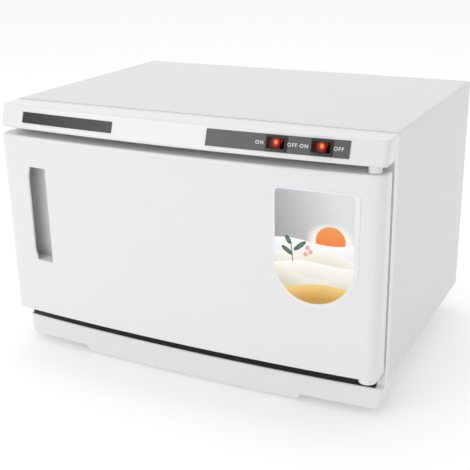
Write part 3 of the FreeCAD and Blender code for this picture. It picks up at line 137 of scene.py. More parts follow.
def round_edges(piece, width, steps=3, angle=40):
    """Rounds every edge that is sharper than an angle."""
    return modify(piece, "BEVEL", width=width, segments=steps, limit_method="ANGLE",
                  angle_limit=math.radians(angle), harden_normals=False)


def carve(piece, tool, way="DIFFERENCE"):
    """Cuts one piece with another, which is then thrown away."""
    modify(piece, "BOOLEAN", object=tool, operation=way, solver="EXACT")
    bpy.data.objects.remove(tool)
    return piece


# %% Starting shapes
def add_block(name, low, high):
    """Cube between two corners."""
    pick(None)
    low = Vector(low)
    high = Vector(high)
    bpy.ops.mesh.primitive_cube_add(size=1, location=(low + high) / 2)
    piece = bpy.context.object
    piece.name = name
    piece.scale = high - low
    return settle(piece)


def add_drum(name, radius, low, high, sides=48):
    """Upright cylinder about the Z axis between two heights."""
    pick(None)
    bpy.ops.mesh.primitive_cylinder_add(vertices=sides, radius=radius, depth=high - low,
                                        location=(0, 0, (low + high) / 2))
    piece = bpy.context.object
    piece.name = name
    return settle(piece)


def copy_to(model, place, turn=(0, 0, 0)):
    """Copy of a model, with a mesh of its own, turned and then put in place."""
    pick(model)
    bpy.ops.object.duplicate(linked=False)
    twin = bpy.context.object
    twin.rotation_euler = [math.radians(angle) for angle in turn]
    twin.location = place
    return settle(twin)


def join(name, pieces):
    pick(pieces[0])
    for piece in pieces[1:]:
        piece.select_set(True)
    if len(pieces) > 1:
        bpy.ops.object.join()
    whole = bpy.context.object
    whole.name = name
    return whole


# %% [markdown]
# ## Finishes written as sums
# A finish is a small network of shader nodes. Wiring nodes by hand hides the idea, so a socket
# is wrapped in a class that understands plus, minus and times: writing 1 - mask adds the Math
# node that works it out. Colours go through Mix nodes, because a Math node would turn them
# grey, and every other node comes from one method.

# %% The shader helpers
class Flow:
    """A value that flows from one shader node to the next."""

    def __init__(self, finish, socket):
        self.finish = finish
        self.socket = socket

    def math(self, operation, *values):
        return self.finish.node("Math", {"operation": operation}, dict(enumerate(values)))

    def __add__(self, other):
        return self.math("ADD", self, other)

    __radd__ = __add__

    def __sub__(self, other):
        return self.math("SUBTRACT", self, other)

    def __rsub__(self, other):
        return self.math("SUBTRACT", other, self)

    def __mul__(self, other):
        return self.math("MULTIPLY", self, other)

    __rmul__ = __mul__

    def __truediv__(self, other):
        return self.math("DIVIDE", self, other)

    def __rtruediv__(self, other):
        return self.math("DIVIDE", other, self)

    def __pow__(self, other):
        return self.math("POWER", self, other)

    def __abs__(self):
        return self.math("ABSOLUTE", self)


class Finish:
    """A material built from one shader and the values that feed it."""

    def __init__(self, name, **constants):
        self.material = bpy.data.materials.new(name)
        self.material.use_nodes = True
        self.tree = self.material.node_tree
        self.tree.nodes.clear()
        self.shader = self.tree.nodes.new("ShaderNodeBsdfPrincipled")
        output = self.tree.nodes.new("ShaderNodeOutputMaterial")
        self.tree.links.new(self.shader.outputs[0], output.inputs["Surface"])
        for name, value in constants.items():
            self.feed(self.shader.inputs[name.replace("_", " ")], value)

    def feed(self, socket, value):
        if isinstance(value, Flow):
            self.tree.links.new(value.socket, socket)
        else:
            socket.default_value = value

    def node(self, kind, settings, values, output=0):
        """Adds any node: its settings first, then the values or links of its sockets."""
        made = self.tree.nodes.new(f"ShaderNode{kind}")
        for name, value in settings.items():
            if name == "stops":
                ramp = made.color_ramp.elements
                while len(ramp) < len(value):
                    ramp.new(0.5)
                for element, (place, colour) in zip(ramp, value):
                    element.position = place
                    element.color = colour
            else:
                setattr(made, name, value)
        for name, value in values.items():
            self.feed(made.inputs[name], value)
        return Flow(self, made.outputs[output])

    def put(self, **values):
        """Feeds the shader's own sockets."""
        for name, value in values.items():
            self.feed(self.shader.inputs[name.replace("_", " ")], value)
        return self

    def place(self):
        """Where on the object a point is, in metres."""
        return self.node("TexCoord", {}, {}, "Object")

    def axes(self, middle=(0, 0, 0)):
        """The three coordinates of a point, measured from a middle, as separate values."""
        moved = self.node("VectorMath", {"operation": "SUBTRACT"}, {0: self.place(), 1: middle})
        return [self.node("SeparateXYZ", {}, {0: moved}, axis) for axis in "XYZ"]

    def stretched(self, factors):
        """The object's coordinates, squeezed along some axes to draw a pattern out."""
        return self.node("VectorMath", {"operation": "MULTIPLY"}, {0: self.place(), 1: factors})

    def noise(self, scale, detail=2, rough=0.5, along=None):
        return self.node("TexNoise", {}, {"Vector": along or self.place(), "Scale": scale,
                                          "Detail": detail, "Roughness": rough}, "Fac")

    def spread(self, value, low, high, to_low=0, to_high=1):
        """Stretches a range of values to another range, and clamps it there."""
        return self.node("MapRange", {"clamp": True}, {"Value": value, "From Min": low,
                         "From Max": high, "To Min": to_low, "To Max": to_high})

    def mix(self, share, first, second):
        """Blends two colours."""
        return self.node("Mix", {"data_type": "RGBA"}, {0: share, 6: first, 7: second}, 2)

    def relief(self, height, depth, strength=1):
        """Turns a height pattern, in metres of depth, into shading."""
        bump = self.node("Bump", {}, {"Height": height, "Distance": depth,
                                      "Strength": strength})
        return self.put(Normal=bump)


def grey(level, tint=(1, 1, 1)):
    return (level * tint[0], level * tint[1], level * tint[2], 1)


# %% [markdown]
# ## Giving pieces to the cabinet
# A solid from the CAD model that already has the right shape only needs its finish. A piece
# modelled here rides on the body that carries it, stands for the solid it replaces, and gets
# its edges shaded smooth wherever they bend less than an angle.

# %% Dressing and handing in
finishes = {}


def dress(finish, *nodes):
    """Gives a finish to solids of the CAD model."""
    for name in nodes:
        for place in frame["nodes"][name].material_slots:
            place.material = finish.material
        finishes[name] = finish
    print(finish.material.name, "on", ", ".join(nodes))


def hand_in(piece, body, finish, slot, *nodes, angle=35):
    """Finishes a new piece and ties it to its body and to the solids that it stands for."""
    pick(piece)
    bpy.ops.object.shade_smooth_by_angle(angle=math.radians(angle))
    piece.data.name = piece.name
    if finish:
        piece.data.materials.clear()
        piece.data.materials.append(finish.material)
    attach(piece, body)
    if nodes:
        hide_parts(*nodes)
    print(piece.name, "rides on", body, "with", len(piece.data.polygons), "faces")
    return piece

# %% [markdown]
# ## White paint and white plastic
# The case is folded steel with a baked white enamel: smooth, slightly satin, with the faint
# skin of sprayed paint. The front and the door are moulded plastic, whiter and glossier, with
# the slow waviness of a thin moulding. Both are more than a colour: the gloss varies a little
# and the skin has a very shallow relief.

# %% White enamel and white moulding
enamel = Finish("white_enamel", Specular_IOR_Level=0.5)
skin = enamel.noise(900, 3, 0.6)
cloud = enamel.noise(9, 2)
enamel.put(Base_Color=enamel.mix(cloud, grey(0.675), grey(0.695)),
           Roughness=enamel.spread(cloud, 0.3, 0.7, 0.30, 0.36))
enamel.relief(skin, 0.00003, 0.25)

def white_plastic(name, share=0, paint=(0, 0, 0, 1)):
    """Glossy white moulding, of which a share may be covered by another colour."""
    finish = Finish(name, Specular_IOR_Level=0.5, Coat_Roughness=0.08)
    flow_mark = finish.noise(5, 2)
    grain = finish.noise(1500, 2)
    white = finish.mix(flow_mark, grey(0.735), grey(0.755))
    if share:
        white = finish.mix(share(finish), white, paint)
    finish.put(Base_Color=white, Roughness=finish.spread(flow_mark, 0.3, 0.7, 0.20, 0.26),
               Coat_Weight=0.25)
    finish.relief(grain, 0.00001, 0.2)
    return finish


moulding = white_plastic("white_moulding")

# %% [markdown]
# The front frame is coloured near black below the door, as painted shade in the slot that a
# closed door leaves there. The painted shade covers the ledge behind the bowed skirt. The bow
# is a shallow arc, so its distance from the ends grows with the square of the place across,
# and that sum tells the ledge from the skirt.

# %% Front frame with painted shade below the door
def painted_sill_shade(finish):
    """Mask of the painted shade in the slot under the door."""
    across, along, up = finish.axes()
    bow = 0.0088 - across * across * (0.0088 / 0.225 ** 2)
    behind_skirt = finish.spread(along + bow, -0.1421, -0.1416)
    heights = finish.spread(up, 0.0290, 0.0295) * finish.spread(up, 0.0496, 0.0500, 1, 0)
    ends = finish.spread(across, -0.2240, -0.2236) * finish.spread(across, 0.2160, 0.2170, 1, 0)
    return behind_skirt * heights * ends


# Painted shade: the ledge in the slot under the door is coloured near black.
front_moulding = white_plastic("front_moulding", painted_sill_shade, grey(0.055))

# %% [markdown]
# The cup behind the finger recess is handled each time the door is opened. Its undercut is
# coloured greyer than the slope that leads out of the recess, as painted shade.

# %% Finger recess with painted shade in its undercut
def painted_undercut_shade(finish):
    """Mask of the painted shade on the undercut side of the finger recess."""
    across, _, _ = finish.axes()
    haze = finish.noise(90, 3)
    return finish.spread(across + haze * 0.004, -0.1890, -0.1740, 0.62, 0)


# Painted shade: the undercut of the finger recess is coloured grey.
cup_moulding = white_plastic("cup_moulding", painted_undercut_shade, grey(0.36))

# %% [markdown]
# ## Metals
# Rolled aluminium has long fine scratches in the direction it was rolled, zinc plating has
# pale flakes of crystal, and bright wire is almost a mirror. The scratches are noise on
# coordinates that are squeezed along one axis, and the flakes are cells of a Voronoi pattern.

# %% Aluminium, zinc, bright wire and the two plates of the fascia
liner = Finish("rolled_aluminium", Metallic=1.0)
scratches = liner.noise(1, 3, 0.6, liner.stretched((40, 1800, 1800)))
smudge = liner.noise(14, 3)
liner.put(Base_Color=liner.mix(scratches, grey(0.70), grey(0.86, (1, 1, 1.01))),
          Roughness=liner.spread(smudge, 0.3, 0.7, 0.24, 0.40))
liner.relief(scratches, 0.00002, 0.3)

zinc = Finish("zinc_plate", Metallic=1.0)
flake = zinc.node("TexVoronoi", {}, {"Vector": zinc.place(), "Scale": 260.0}, "Color")
flake_level = zinc.node("SeparateColor", {}, {0: flake}, 0)
zinc.put(Base_Color=zinc.mix(flake_level, (0.56, 0.57, 0.58, 1), (0.72, 0.73, 0.75, 1)),
         Roughness=flake_level * 0.16 + 0.30)

bright = Finish("bright_wire", Metallic=1.0)
haze = bright.noise(300, 2)
bright.put(Base_Color=bright.mix(haze, grey(0.74), grey(0.82)),
           Roughness=bright.spread(haze, 0.3, 0.7, 0.10, 0.20))

brushed = Finish("brushed_grey_plate", Metallic=0.55)
strokes = brushed.noise(1, 4, 0.65, brushed.stretched((90, 2600, 2600)))
brushed.put(Base_Color=brushed.mix(strokes, grey(0.078), grey(0.125)),
            Roughness=brushed.spread(strokes, 0.3, 0.7, 0.38, 0.5))
brushed.relief(strokes, 0.00002, 0.3)

charcoal = Finish("charcoal_plate", Metallic=0.4)
strokes = charcoal.noise(1, 4, 0.65, charcoal.stretched((90, 2600, 2600)))
across = charcoal.axes()[0]
fade = charcoal.spread(across, -0.19, -0.07)
charcoal.put(Base_Color=charcoal.mix(fade, charcoal.mix(strokes, grey(0.012), grey(0.03)),
                                     charcoal.mix(strokes, grey(0.04), grey(0.07))),
             Roughness=0.42)
charcoal.relief(strokes, 0.00002, 0.3)

# %% [markdown]
# ## Plastics, rubber and fibres
# Small moulded parts share one recipe with different colours: a fine grain, and a gloss that
# wanders a little. Rubber is duller and rougher. The wool round the chamber is a felt of
# fibres, which two noises of different size draw.

# %% One recipe for small moulded parts
def moulded(name, dark, light, roughness, grain_size=1200, depth=0.00003, **constants):
    finish = Finish(name, **constants)
    grain = finish.noise(grain_size, 3, 0.6)
    cloud = finish.noise(40, 2)
    finish.put(Base_Color=finish.mix(cloud, (*dark, 1), (*light, 1)),
               Roughness=finish.spread(cloud, 0.3, 0.7, roughness - 0.05, roughness + 0.05))
    finish.relief(grain, depth, 0.4)
    return finish


black = moulded("black_moulding", (0.010, 0.011, 0.013), (0.022, 0.024, 0.028), 0.22)
dark = moulded("dark_moulding", (0.02, 0.02, 0.02), (0.045, 0.045, 0.045), 0.5)
ivory = moulded("ivory_moulding", (0.72, 0.70, 0.62), (0.80, 0.78, 0.70), 0.42)
foot = moulded("foot_moulding", (0.50, 0.50, 0.50), (0.62, 0.62, 0.62), 0.5)
seal = moulded("seal_rubber", (0.10, 0.10, 0.105), (0.16, 0.16, 0.165), 0.62, 700, 0.00008)
mat = moulded("heater_rubber", (0.33, 0.085, 0.035), (0.42, 0.12, 0.05), 0.6, 700, 0.00008)
magnet = moulded("magnet_ferrite", (0.035, 0.035, 0.04), (0.08, 0.08, 0.085), 0.55, 900, 0.0001)

# %% Felt of fibres and rigid foam
wool = Finish("insulating_wool")
fibres = wool.noise(1, 5, 0.7, wool.stretched((500, 1600, 700)))
tufts = wool.noise(60, 4, 0.6)
wool.put(Base_Color=wool.mix(fibres, (0.60, 0.52, 0.30, 1), (0.88, 0.82, 0.62, 1)),
         Roughness=wool.spread(tufts, 0.2, 0.8, 0.8, 0.95))
wool.relief(fibres + tufts * 3, 0.0006, 0.7)

foam = Finish("insulating_foam")
bubble = foam.node("TexVoronoi", {}, {"Vector": foam.place(), "Scale": 700.0}, "Distance")
foam.put(Base_Color=foam.mix(bubble, (0.86, 0.80, 0.60, 1), (0.66, 0.58, 0.38, 1)),
         Roughness=foam.spread(bubble, 0, 0.6, 0.75, 0.9))
foam.relief(bubble, 0.0003, 0.6)

# %% Glass of the lamp
glass = Finish("lamp_glass", IOR=1.46, Transmission_Weight=0.9)
frost = glass.noise(120, 3)
glass.put(Base_Color=glass.mix(frost, (0.78, 0.85, 0.97, 1), (0.92, 0.95, 1.0, 1)),
          Roughness=glass.spread(frost, 0.3, 0.7, 0.04, 0.14))

# %% [markdown]
# ## Where a switch stands
# The fascia leans forward towards its foot and is bowed from side to side, so a flat thing on
# it is turned twice: by the lean, and by the slope of the bow at its place. One function works
# out that turn, and the switches and their lettering all use it.

# %% The slanted face
HALF_WIDTH = 225 * MM
BOW = 8.8 * MM
BOW_RADIUS = (HALF_WIDTH ** 2 + BOW ** 2) / (2 * BOW)
SHELL_FRONT = -126.35 * MM
FASCIA_TOP = 294 * MM
FASCIA_HEIGHT = 25 * MM
FASCIA_REACH = 27 * MM
FASCIA_LEAN = 8.5 * MM
PLATE = 0.6 * MM


def on_fascia(across, drop, proud=0.0):
    """Turn and place on the fascia: local minus Y points out of its face."""
    radius = BOW_RADIUS + FASCIA_LEAN * drop / FASCIA_HEIGHT
    rear_of_drum = SHELL_FRONT - FASCIA_REACH - BOW + BOW_RADIUS
    place = Vector((across, rear_of_drum - math.sqrt(radius ** 2 - across ** 2),
                    FASCIA_TOP - drop))
    turn = Matrix.Rotation(math.asin(across / radius), 4, "Z")
    turn = turn @ Matrix.Rotation(-math.atan2(FASCIA_LEAN, FASCIA_HEIGHT), 4, "X")
    return Matrix.Translation(place) @ turn @ Matrix.Translation((0, -proud, 0))


# %% [markdown]
# ## Rocker switches
# A rocker switch is a black body snapped into the fascia, with a rim that covers the cut-out
# and a well in which the rocker tilts. The body starts as one block, the rim: its back face is
# inset and drawn back to make the body, a block is cut out of the front for the well, and the
# edges are rounded. The three contact blades behind are thin blocks with their far corners cut.

# %% Switch bodies
RIM_WIDTH = 21 * MM
RIM_HEIGHT = 15 * MM
RIM_RISE = 2 * MM
BODY_WIDTH = 19 * MM
BODY_HEIGHT = 13 * MM
BODY_DEPTH = 12 * MM
WELL_WIDTH = 18.6 * MM
WELL_HEIGHT = 10.4 * MM
WELL_DEPTH = 9 * MM
BLADE = (0.8 * MM, 7 * MM, 4.8 * MM)
BLADE_PITCH = 6.5 * MM
SWITCH_DROP = 11.4 * MM
POWER_SWITCH = 116 * MM
LAMP_SWITCH = 161.6 * MM


def make_switch_body(name):
    """Switch body about the origin, its rim in front of the plane Y = 0."""
    rim = add_block("rim", (-RIM_WIDTH / 2, -RIM_RISE, -RIM_HEIGHT / 2),
                    (RIM_WIDTH / 2, 0, RIM_HEIGHT / 2))
    edit(rim, "EDGE")
    choose("EDGE", lambda at, edge: abs(at.x) > RIM_WIDTH * 0.49 and abs(at.z) > RIM_HEIGHT * 0.49)
    bpy.ops.mesh.bevel(offset=1 * MM, segments=5, affect="EDGES")
    done()
    edit(rim)
    choose("FACE", lambda at, face: face.normal.y > 0.9)
    bpy.ops.mesh.inset(thickness=1 * MM)
    bpy.ops.mesh.extrude_region_move(TRANSFORM_OT_translate={"value": (0, BODY_DEPTH, 0)})
    done()
    well = add_block("well", (-WELL_WIDTH / 2, -2 * RIM_RISE, -WELL_HEIGHT / 2),
                     (WELL_WIDTH / 2, WELL_DEPTH, WELL_HEIGHT / 2))
    carve(rim, well)
    round_edges(rim, 0.35 * MM, 3)
    blades = []
    for turn in (-1, 0, 1):
        middle = turn * BLADE_PITCH
        blade = add_block("blade", (middle - BLADE[0] / 2, BODY_DEPTH - 0.5 * MM, -BLADE[2] / 2),
                          (middle + BLADE[0] / 2, BODY_DEPTH + BLADE[1], BLADE[2] / 2))
        edit(blade, "EDGE")
        choose("EDGE", lambda at, edge: at.y > BODY_DEPTH + 0.9 * BLADE[1]
               and abs(at.z) > BLADE[2] * 0.4)
        bpy.ops.mesh.bevel(offset=1.2 * MM, segments=1, affect="EDGES")
        done()
        blades.append(blade)
    return join(name, [rim, *blades])


# %% [markdown]
# ## The rockers
# The rocker is a curved key of red, half clear plastic with a small glow lamp inside. Its top
# is two slopes that meet in a shallow dish, one side pressed in. It is drawn as a side view,
# given its width, and rounded. The glow is a spot of orange light colour inside the red,
# brightest in front of the little lamp.

# %% Rockers
ROCKER_LENGTH = 15.6 * MM
ROCKER_WIDTH = 9.8 * MM
ROCKER_CROWN = 8.4 * MM
ROCKER_DISH = 1.3 * MM
ROCKER_FLARE = 0.6 * MM
ROCKER_TILT = -10
PIVOT_DEPTH = 4 * MM
TRUNNION_RADIUS = 1.2 * MM
TRUNNION_REACH = 1.1 * MM
DISH_STEPS = 16


def make_rocker(name):
    """Rocker about its own pivot, its dished face towards minus Y."""
    half = ROCKER_LENGTH / 2
    key = add_block(name, (-half, -ROCKER_CROWN, -ROCKER_WIDTH / 2), (half, 3 * MM, ROCKER_WIDTH / 2))
    for step in range(1, DISH_STEPS):
        edit(key)
        bpy.ops.mesh.select_all(action="SELECT")
        bpy.ops.mesh.bisect(plane_co=(half * (2 * step / DISH_STEPS - 1), 0, 0),
                            plane_no=(1, 0, 0))
        done()
    for step in range(1, DISH_STEPS):
        x = half * (2 * step / DISH_STEPS - 1)
        edit(key, "VERT")
        choose("VERT", lambda at, vert: at.y < 0 and abs(at.x - x) < 0.01 * MM)
        depth = ROCKER_DISH * (1 - (x / half) ** 2)
        bpy.ops.transform.translate(value=(0, depth, 0))
        done()
    edit(key, "VERT")
    choose("VERT", lambda at, vert: at.y > 0)
    bpy.ops.transform.resize(value=(0.36, 1, 1), center_override=(0, 3 * MM, 0))
    done()
    edit(key, "EDGE")
    choose("EDGE", lambda at, edge: at.y < -4 * MM and abs(abs(at.z) - ROCKER_WIDTH / 2) < 0.01 * MM
           or (at.y < -4 * MM and abs(at.x) > half * 0.99))
    bpy.ops.mesh.bevel(offset=0.5 * MM, segments=3, affect="EDGES")
    done()
    pick(None)
    bpy.ops.mesh.primitive_cylinder_add(vertices=24, radius=TRUNNION_RADIUS,
                                        depth=ROCKER_WIDTH + 2 * TRUNNION_REACH)
    axle = bpy.context.object
    round_edges(axle, 0.15 * MM, 2)
    return join(name, [key, axle])


glow_red = {}
for label, across in (("power", POWER_SWITCH), ("lamp", LAMP_SWITCH)):
    stand = on_fascia(across, SWITCH_DROP, PLATE)
    body = make_switch_body(f"{label}_switch_body")
    body.matrix_world = stand
    settle(body)
    hand_in(body, "cabinet", black, "black_plastic", f"{label}_switch_housing")

    rocker = make_rocker(f"{label}_rocker_key")
    tilt = Matrix.Translation((0, PIVOT_DEPTH, 0)) @ Matrix.Rotation(math.radians(ROCKER_TILT), 4, "Z")
    rocker.matrix_world = stand @ tilt
    settle(rocker)

    red = Finish(f"{label}_red", Specular_IOR_Level=0.15, Emission_Strength=1.1)
    lamp_at = stand @ Vector((1.2 * MM, -5 * MM, 0.6 * MM))
    sideways, depth, height = red.axes(tuple(lamp_at))
    distance = (sideways * sideways + height * height) ** 0.5
    heart = red.spread(distance, 0.0004, 0.0032, 1, 0)
    halo = red.spread(distance, 0.001, 0.0065, 1, 0)
    ember = red.mix(halo, (0.05, 0.0, 0.0, 1), (0.72, 0.03, 0.003, 1))
    red.put(Base_Color=red.mix(halo, (0.025, 0.001, 0.001, 1), (0.30, 0.012, 0.004, 1)),
            Emission_Color=red.mix(heart ** 2, red.mix(halo ** 2, (0.012, 0, 0, 1), ember),
                                   (1.0, 0.42, 0.10, 1)),
            Roughness=red.spread(red.noise(400), 0.3, 0.7, 0.10, 0.18))
    hand_in(rocker, f"{label}_rocker", red, "red_rocker", f"{label}_rocker")

# %% [markdown]
# ## Lettering beside the switches
# ON and OFF are printed on the plate. A text object starts flat on the ground, so it is turned
# upright, set on the slanted face, and made a mesh before its place is applied. The print is
# given almost no thickness, just enough to lie clear of the plate.

# %% Words
LETTER_HEIGHT = 5.1 * MM
INK = 0.02 * MM
BOLDER = 0.04 * MM
white_ink = moulded("white_ink", (0.80, 0.80, 0.80), (0.88, 0.88, 0.88), 0.4, 2000, 0.000005)
words = []
for text, across, drop in (("ON", 98.7, 11.7), ("OFF", 132.4, 11.7), ("ON", 144.1, 11.7),
                           ("OFF", 178.2, 11.7)):
    pick(None)
    bpy.ops.object.text_add()
    word = bpy.context.object
    word.data.body = text
    word.data.size = LETTER_HEIGHT
    word.data.align_x = "CENTER"
    word.data.align_y = "CENTER"
    word.data.extrude = INK
    word.data.resolution_u = 4
    word.data.space_character = 1.2
    word.data.offset = BOLDER
    pick(word)
    bpy.ops.object.convert(target="MESH")
    word = bpy.context.object
    word.matrix_world = (on_fascia(across * MM, drop * MM, PLATE + INK)
                         @ Matrix.Rotation(math.radians(90), 4, "X"))
    words.append(settle(word))
hand_in(join("switch_words", words), "cabinet", white_ink, "grey_plate")

# %% [markdown]
# ## Screws
# All the screws of the cabinet are one pan head screw with a cross recess. It is modelled once
# with its head on the ground plane: a drum whose top edge is rounded into a dome, and a cross
# of two tapered blades cut out of it. Each group is made of copies, turned the way they point.

# %% One pan head screw
HEAD_RADIUS = 3.4 * MM
HEAD_HEIGHT = 2 * MM
SHANK_RADIUS = 1.5 * MM
RECESS = (0.9 * MM, 3.4 * MM, 1.3 * MM)


def make_screw(length):
    """Screw whose head stands on the plane Z = 0 and whose shank points down."""
    head = add_drum("head", HEAD_RADIUS, 0, HEAD_HEIGHT, 32)
    edit(head, "EDGE")
    choose("EDGE", lambda at, edge: at.z > HEAD_HEIGHT * 0.99)
    bpy.ops.mesh.bevel(offset=1.1 * MM, segments=5, affect="EDGES", profile=0.55)
    done()
    wide, long, deep = RECESS
    for turned in (False, True):
        size_x, size_y = (long, wide) if turned else (wide, long)
        blade = add_block("blade", (-size_x / 2, -size_y / 2, HEAD_HEIGHT - deep),
                          (size_x / 2, size_y / 2, HEAD_HEIGHT + 1 * MM))
        edit(blade, "VERT")
        choose("VERT", lambda at, vert: at.z < HEAD_HEIGHT)
        bpy.ops.transform.resize(value=(0.7, 0.7, 1), center_override=(0, 0, 0))
        done()
        carve(head, blade)
    shank = add_drum("shank", SHANK_RADIUS, -length, 0.2 * MM, 20)
    edit(shank, "EDGE")
    choose("EDGE", lambda at, edge: at.z < -length * 0.99)
    bpy.ops.mesh.bevel(offset=0.7 * MM, segments=2, affect="EDGES")
    done()
    return join("screw", [head, shank])


# %% Groups of screws
SCREW_GROUPS = {
    "rear_panel_screws": (3, (90, 0, 180), "cabinet",
                          [(x, 163.65, z) for x in (-216, 216) for z in (40, 163, 286)]
                          + [(0, 163.65, 40), (0, 163.65, 286)]),
    "door_panel_screws": (2.5, (90, 0, 180), "door",
                          [(x, -143.35, z) for x in (-209, 209) for z in (64.5, 247.5)]),
    "lower_hinge_screws": (6, (90, 0, 0), "cabinet", [(206, -138.35, 41.2), (218, -138.35, 41.2)]),
    "catch_plate_screws": (3, (90, 0, 0), "cabinet",
                           [(-208, -137.15, z) for z in (88, 134, 178, 224)]),
    "foot_screws": (9, (180, 0, 0), "cabinet",
                    [(x, y, 28) for x in (-163, 163) for y in (-96.35, 123.65)]),
}
for label, (length, turn, body, spots) in SCREW_GROUPS.items():
    model = make_screw(length * MM)
    group = []
    for index, spot in enumerate(spots):
        spun = copy_to(model, (0, 0, 0), (0, 0, 23 * index))
        group.append(copy_to(spun, [value * MM for value in spot], turn))
        bpy.data.objects.remove(spun)
    bpy.data.objects.remove(model)
    hand_in(join(label.replace("screws", "pan_heads"), group), body, zinc, "zinc_steel", label)

# %% [markdown]
# ## Outlines that become tubes
# The rack's hoop and the door's seal both follow a rectangle with rounded corners. A plane is
# scaled to the rectangle, its corners are bevelled into arcs, its face is deleted, and what
# is left, a loop of edges, is turned into a curve. A curve can be given a round thickness, or
# can carry a drawn profile along itself, and then becomes a mesh again.

# %% Loops
def rounded_loop(width, length, corner):
    """Curve about the origin, on the ground plane, round a rectangle with arcs for corners."""
    pick(None)
    bpy.ops.mesh.primitive_plane_add(size=1)
    loop = bpy.context.object
    loop.scale = (width, length, 1)
    settle(loop)
    edit(loop, "VERT")
    bpy.ops.mesh.select_all(action="SELECT")
    bpy.ops.mesh.bevel(offset=corner, segments=8, affect="VERTICES")
    bpy.ops.mesh.select_all(action="SELECT")
    bpy.ops.mesh.delete(type="ONLY_FACE")
    done()
    pick(loop)
    bpy.ops.object.convert(target="CURVE")
    return bpy.context.object


def to_mesh(curve):
    pick(curve)
    bpy.ops.object.convert(target="MESH")
    return bpy.context.object


# %% [markdown]
# ## Wire rack
# Hot towels lie on a rack of bright plated wire. Its hoop is bent from one wire, and thirteen
# thinner rods are resistance welded to it, end on. Each weld squeezes out a little bead, so
# one bead is modelled, squashed, and copied to both ends of every rod.

# %% Towel rack
WIRE = 2 * MM
ROD = 1.5 * MM
RODS = 13
RACK_CORNER = 14 * MM
rack_low, rack_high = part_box("towel_rack")
rack_side = rack_high[0] - WIRE
rack_near = rack_low[1] + WIRE
rack_far = rack_high[1] - WIRE
rack_level = (rack_low[2] + rack_high[2]) / 2
rack_middle = (rack_near + rack_far) / 2

hoop = rounded_loop(2 * rack_side, rack_far - rack_near, RACK_CORNER)
hoop.data.bevel_depth = WIRE
hoop.data.bevel_resolution = 3
hoop = to_mesh(hoop)
hoop.location = (0, rack_middle, rack_level)
wires = [settle(hoop)]

pick(None)
bpy.ops.mesh.primitive_cylinder_add(vertices=16, radius=ROD, depth=rack_far - rack_near,
                                    rotation=(math.radians(90), 0, 0))
rod = settle(bpy.context.object)
bpy.ops.mesh.primitive_uv_sphere_add(segments=14, ring_count=8, radius=WIRE)
bead = bpy.context.object
bead.scale = (1.3, 1.05, 0.95)
settle(bead)
pitch = 2 * rack_side / (RODS + 1)
for number in range(1, RODS + 1):
    across = number * pitch - rack_side
    wires.append(copy_to(rod, (across, rack_middle, rack_level)))
    for end in (rack_near + 0.7 * MM, rack_far - 0.7 * MM):
        wires.append(copy_to(bead, (across, end, rack_level)))
bpy.data.objects.remove(rod)
bpy.data.objects.remove(bead)
hand_in(join("rack_wires", wires), "cabinet", bright, "chromed_wire", "towel_rack")

# %% [markdown]
# ## Ultraviolet lamp
# The lamp is a tube of clear quartz with an aluminium cap at either end and two brass pins in
# each cap. Inside each end a coil of tungsten wire hangs on two stems. The tube is given the
# thickness of its wall, the cap is a drum whose end is sunk and raised again in steps, and
# the coil is a small ring swept along a screw.

# %% Lamp
TUBE = 8 * MM
QUARTZ_WALL = 0.9 * MM
CAP_FROM = 59 * MM
CAP_LENGTH = 9 * MM
PIN = 1.2 * MM
PIN_LENGTH = 6 * MM
PIN_SPREAD = 2.5 * MM
lamp_low, lamp_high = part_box("uv_lamp")
lamp_at = Vector(((lamp_low[0] + lamp_high[0]) / 2, (lamp_low[1] + lamp_high[1]) / 2,
                  (lamp_low[2] + lamp_high[2]) / 2))

pick(None)
bpy.ops.mesh.primitive_cylinder_add(vertices=48, radius=TUBE - 0.1 * MM,
                                    depth=2 * CAP_FROM + 3 * MM, end_fill_type="NOTHING",
                                    location=lamp_at, rotation=(0, math.radians(90), 0))
tube = bpy.context.object
tube.name = "lamp_tube"
settle(tube)
modify(tube, "SOLIDIFY", thickness=QUARTZ_WALL, offset=-1)
hand_in(tube, "cabinet", glass, "lamp_glass", "uv_lamp")

cap = add_drum("cap", TUBE, 0, CAP_LENGTH)
edit(cap)
choose("FACE", lambda at, face: face.normal.z > 0.9)
bpy.ops.mesh.inset(thickness=1.2 * MM)
bpy.ops.mesh.extrude_region_move(TRANSFORM_OT_translate={"value": (0, 0, -0.8 * MM)})
bpy.ops.mesh.inset(thickness=1.4 * MM)
bpy.ops.mesh.extrude_region_move(TRANSFORM_OT_translate={"value": (0, 0, 0.6 * MM)})
done()
round_edges(cap, 0.25 * MM, 2)
pin = add_drum("pin", PIN, 0, PIN_LENGTH + 1 * MM, 18)
edit(pin, "EDGE")
choose("EDGE", lambda at, edge: at.z > PIN_LENGTH)
bpy.ops.mesh.bevel(offset=0.8 * MM, segments=3, affect="EDGES")
done()
pins = [copy_to(pin, (0, way * PIN_SPREAD, CAP_LENGTH - 1 * MM)) for way in (-1, 1)]
bpy.data.objects.remove(pin)
brass = Finish("lamp_brass", Metallic=1.0)
tarnish = brass.noise(500, 3)
brass.put(Base_Color=brass.mix(tarnish, (0.55, 0.38, 0.14, 1), (0.78, 0.60, 0.28, 1)),
          Roughness=brass.spread(tarnish, 0.3, 0.7, 0.22, 0.38))
both_pins = join("lamp_pins", pins)
for label, way in (("left", -1), ("right", 1)):
    spot = lamp_at + Vector((way * CAP_FROM, 0, 0))
    end = copy_to(cap, spot, (0, way * 90, 0))
    end.name = f"lamp_cap_{label}"
    hand_in(end, "cabinet", liner, "liner_aluminium")
    pair = copy_to(both_pins, spot, (0, way * 90, 0))
    pair.name = f"lamp_pins_{label}"
    hand_in(pair, "cabinet", brass, "zinc_steel")
bpy.data.objects.remove(cap)
bpy.data.objects.remove(both_pins)

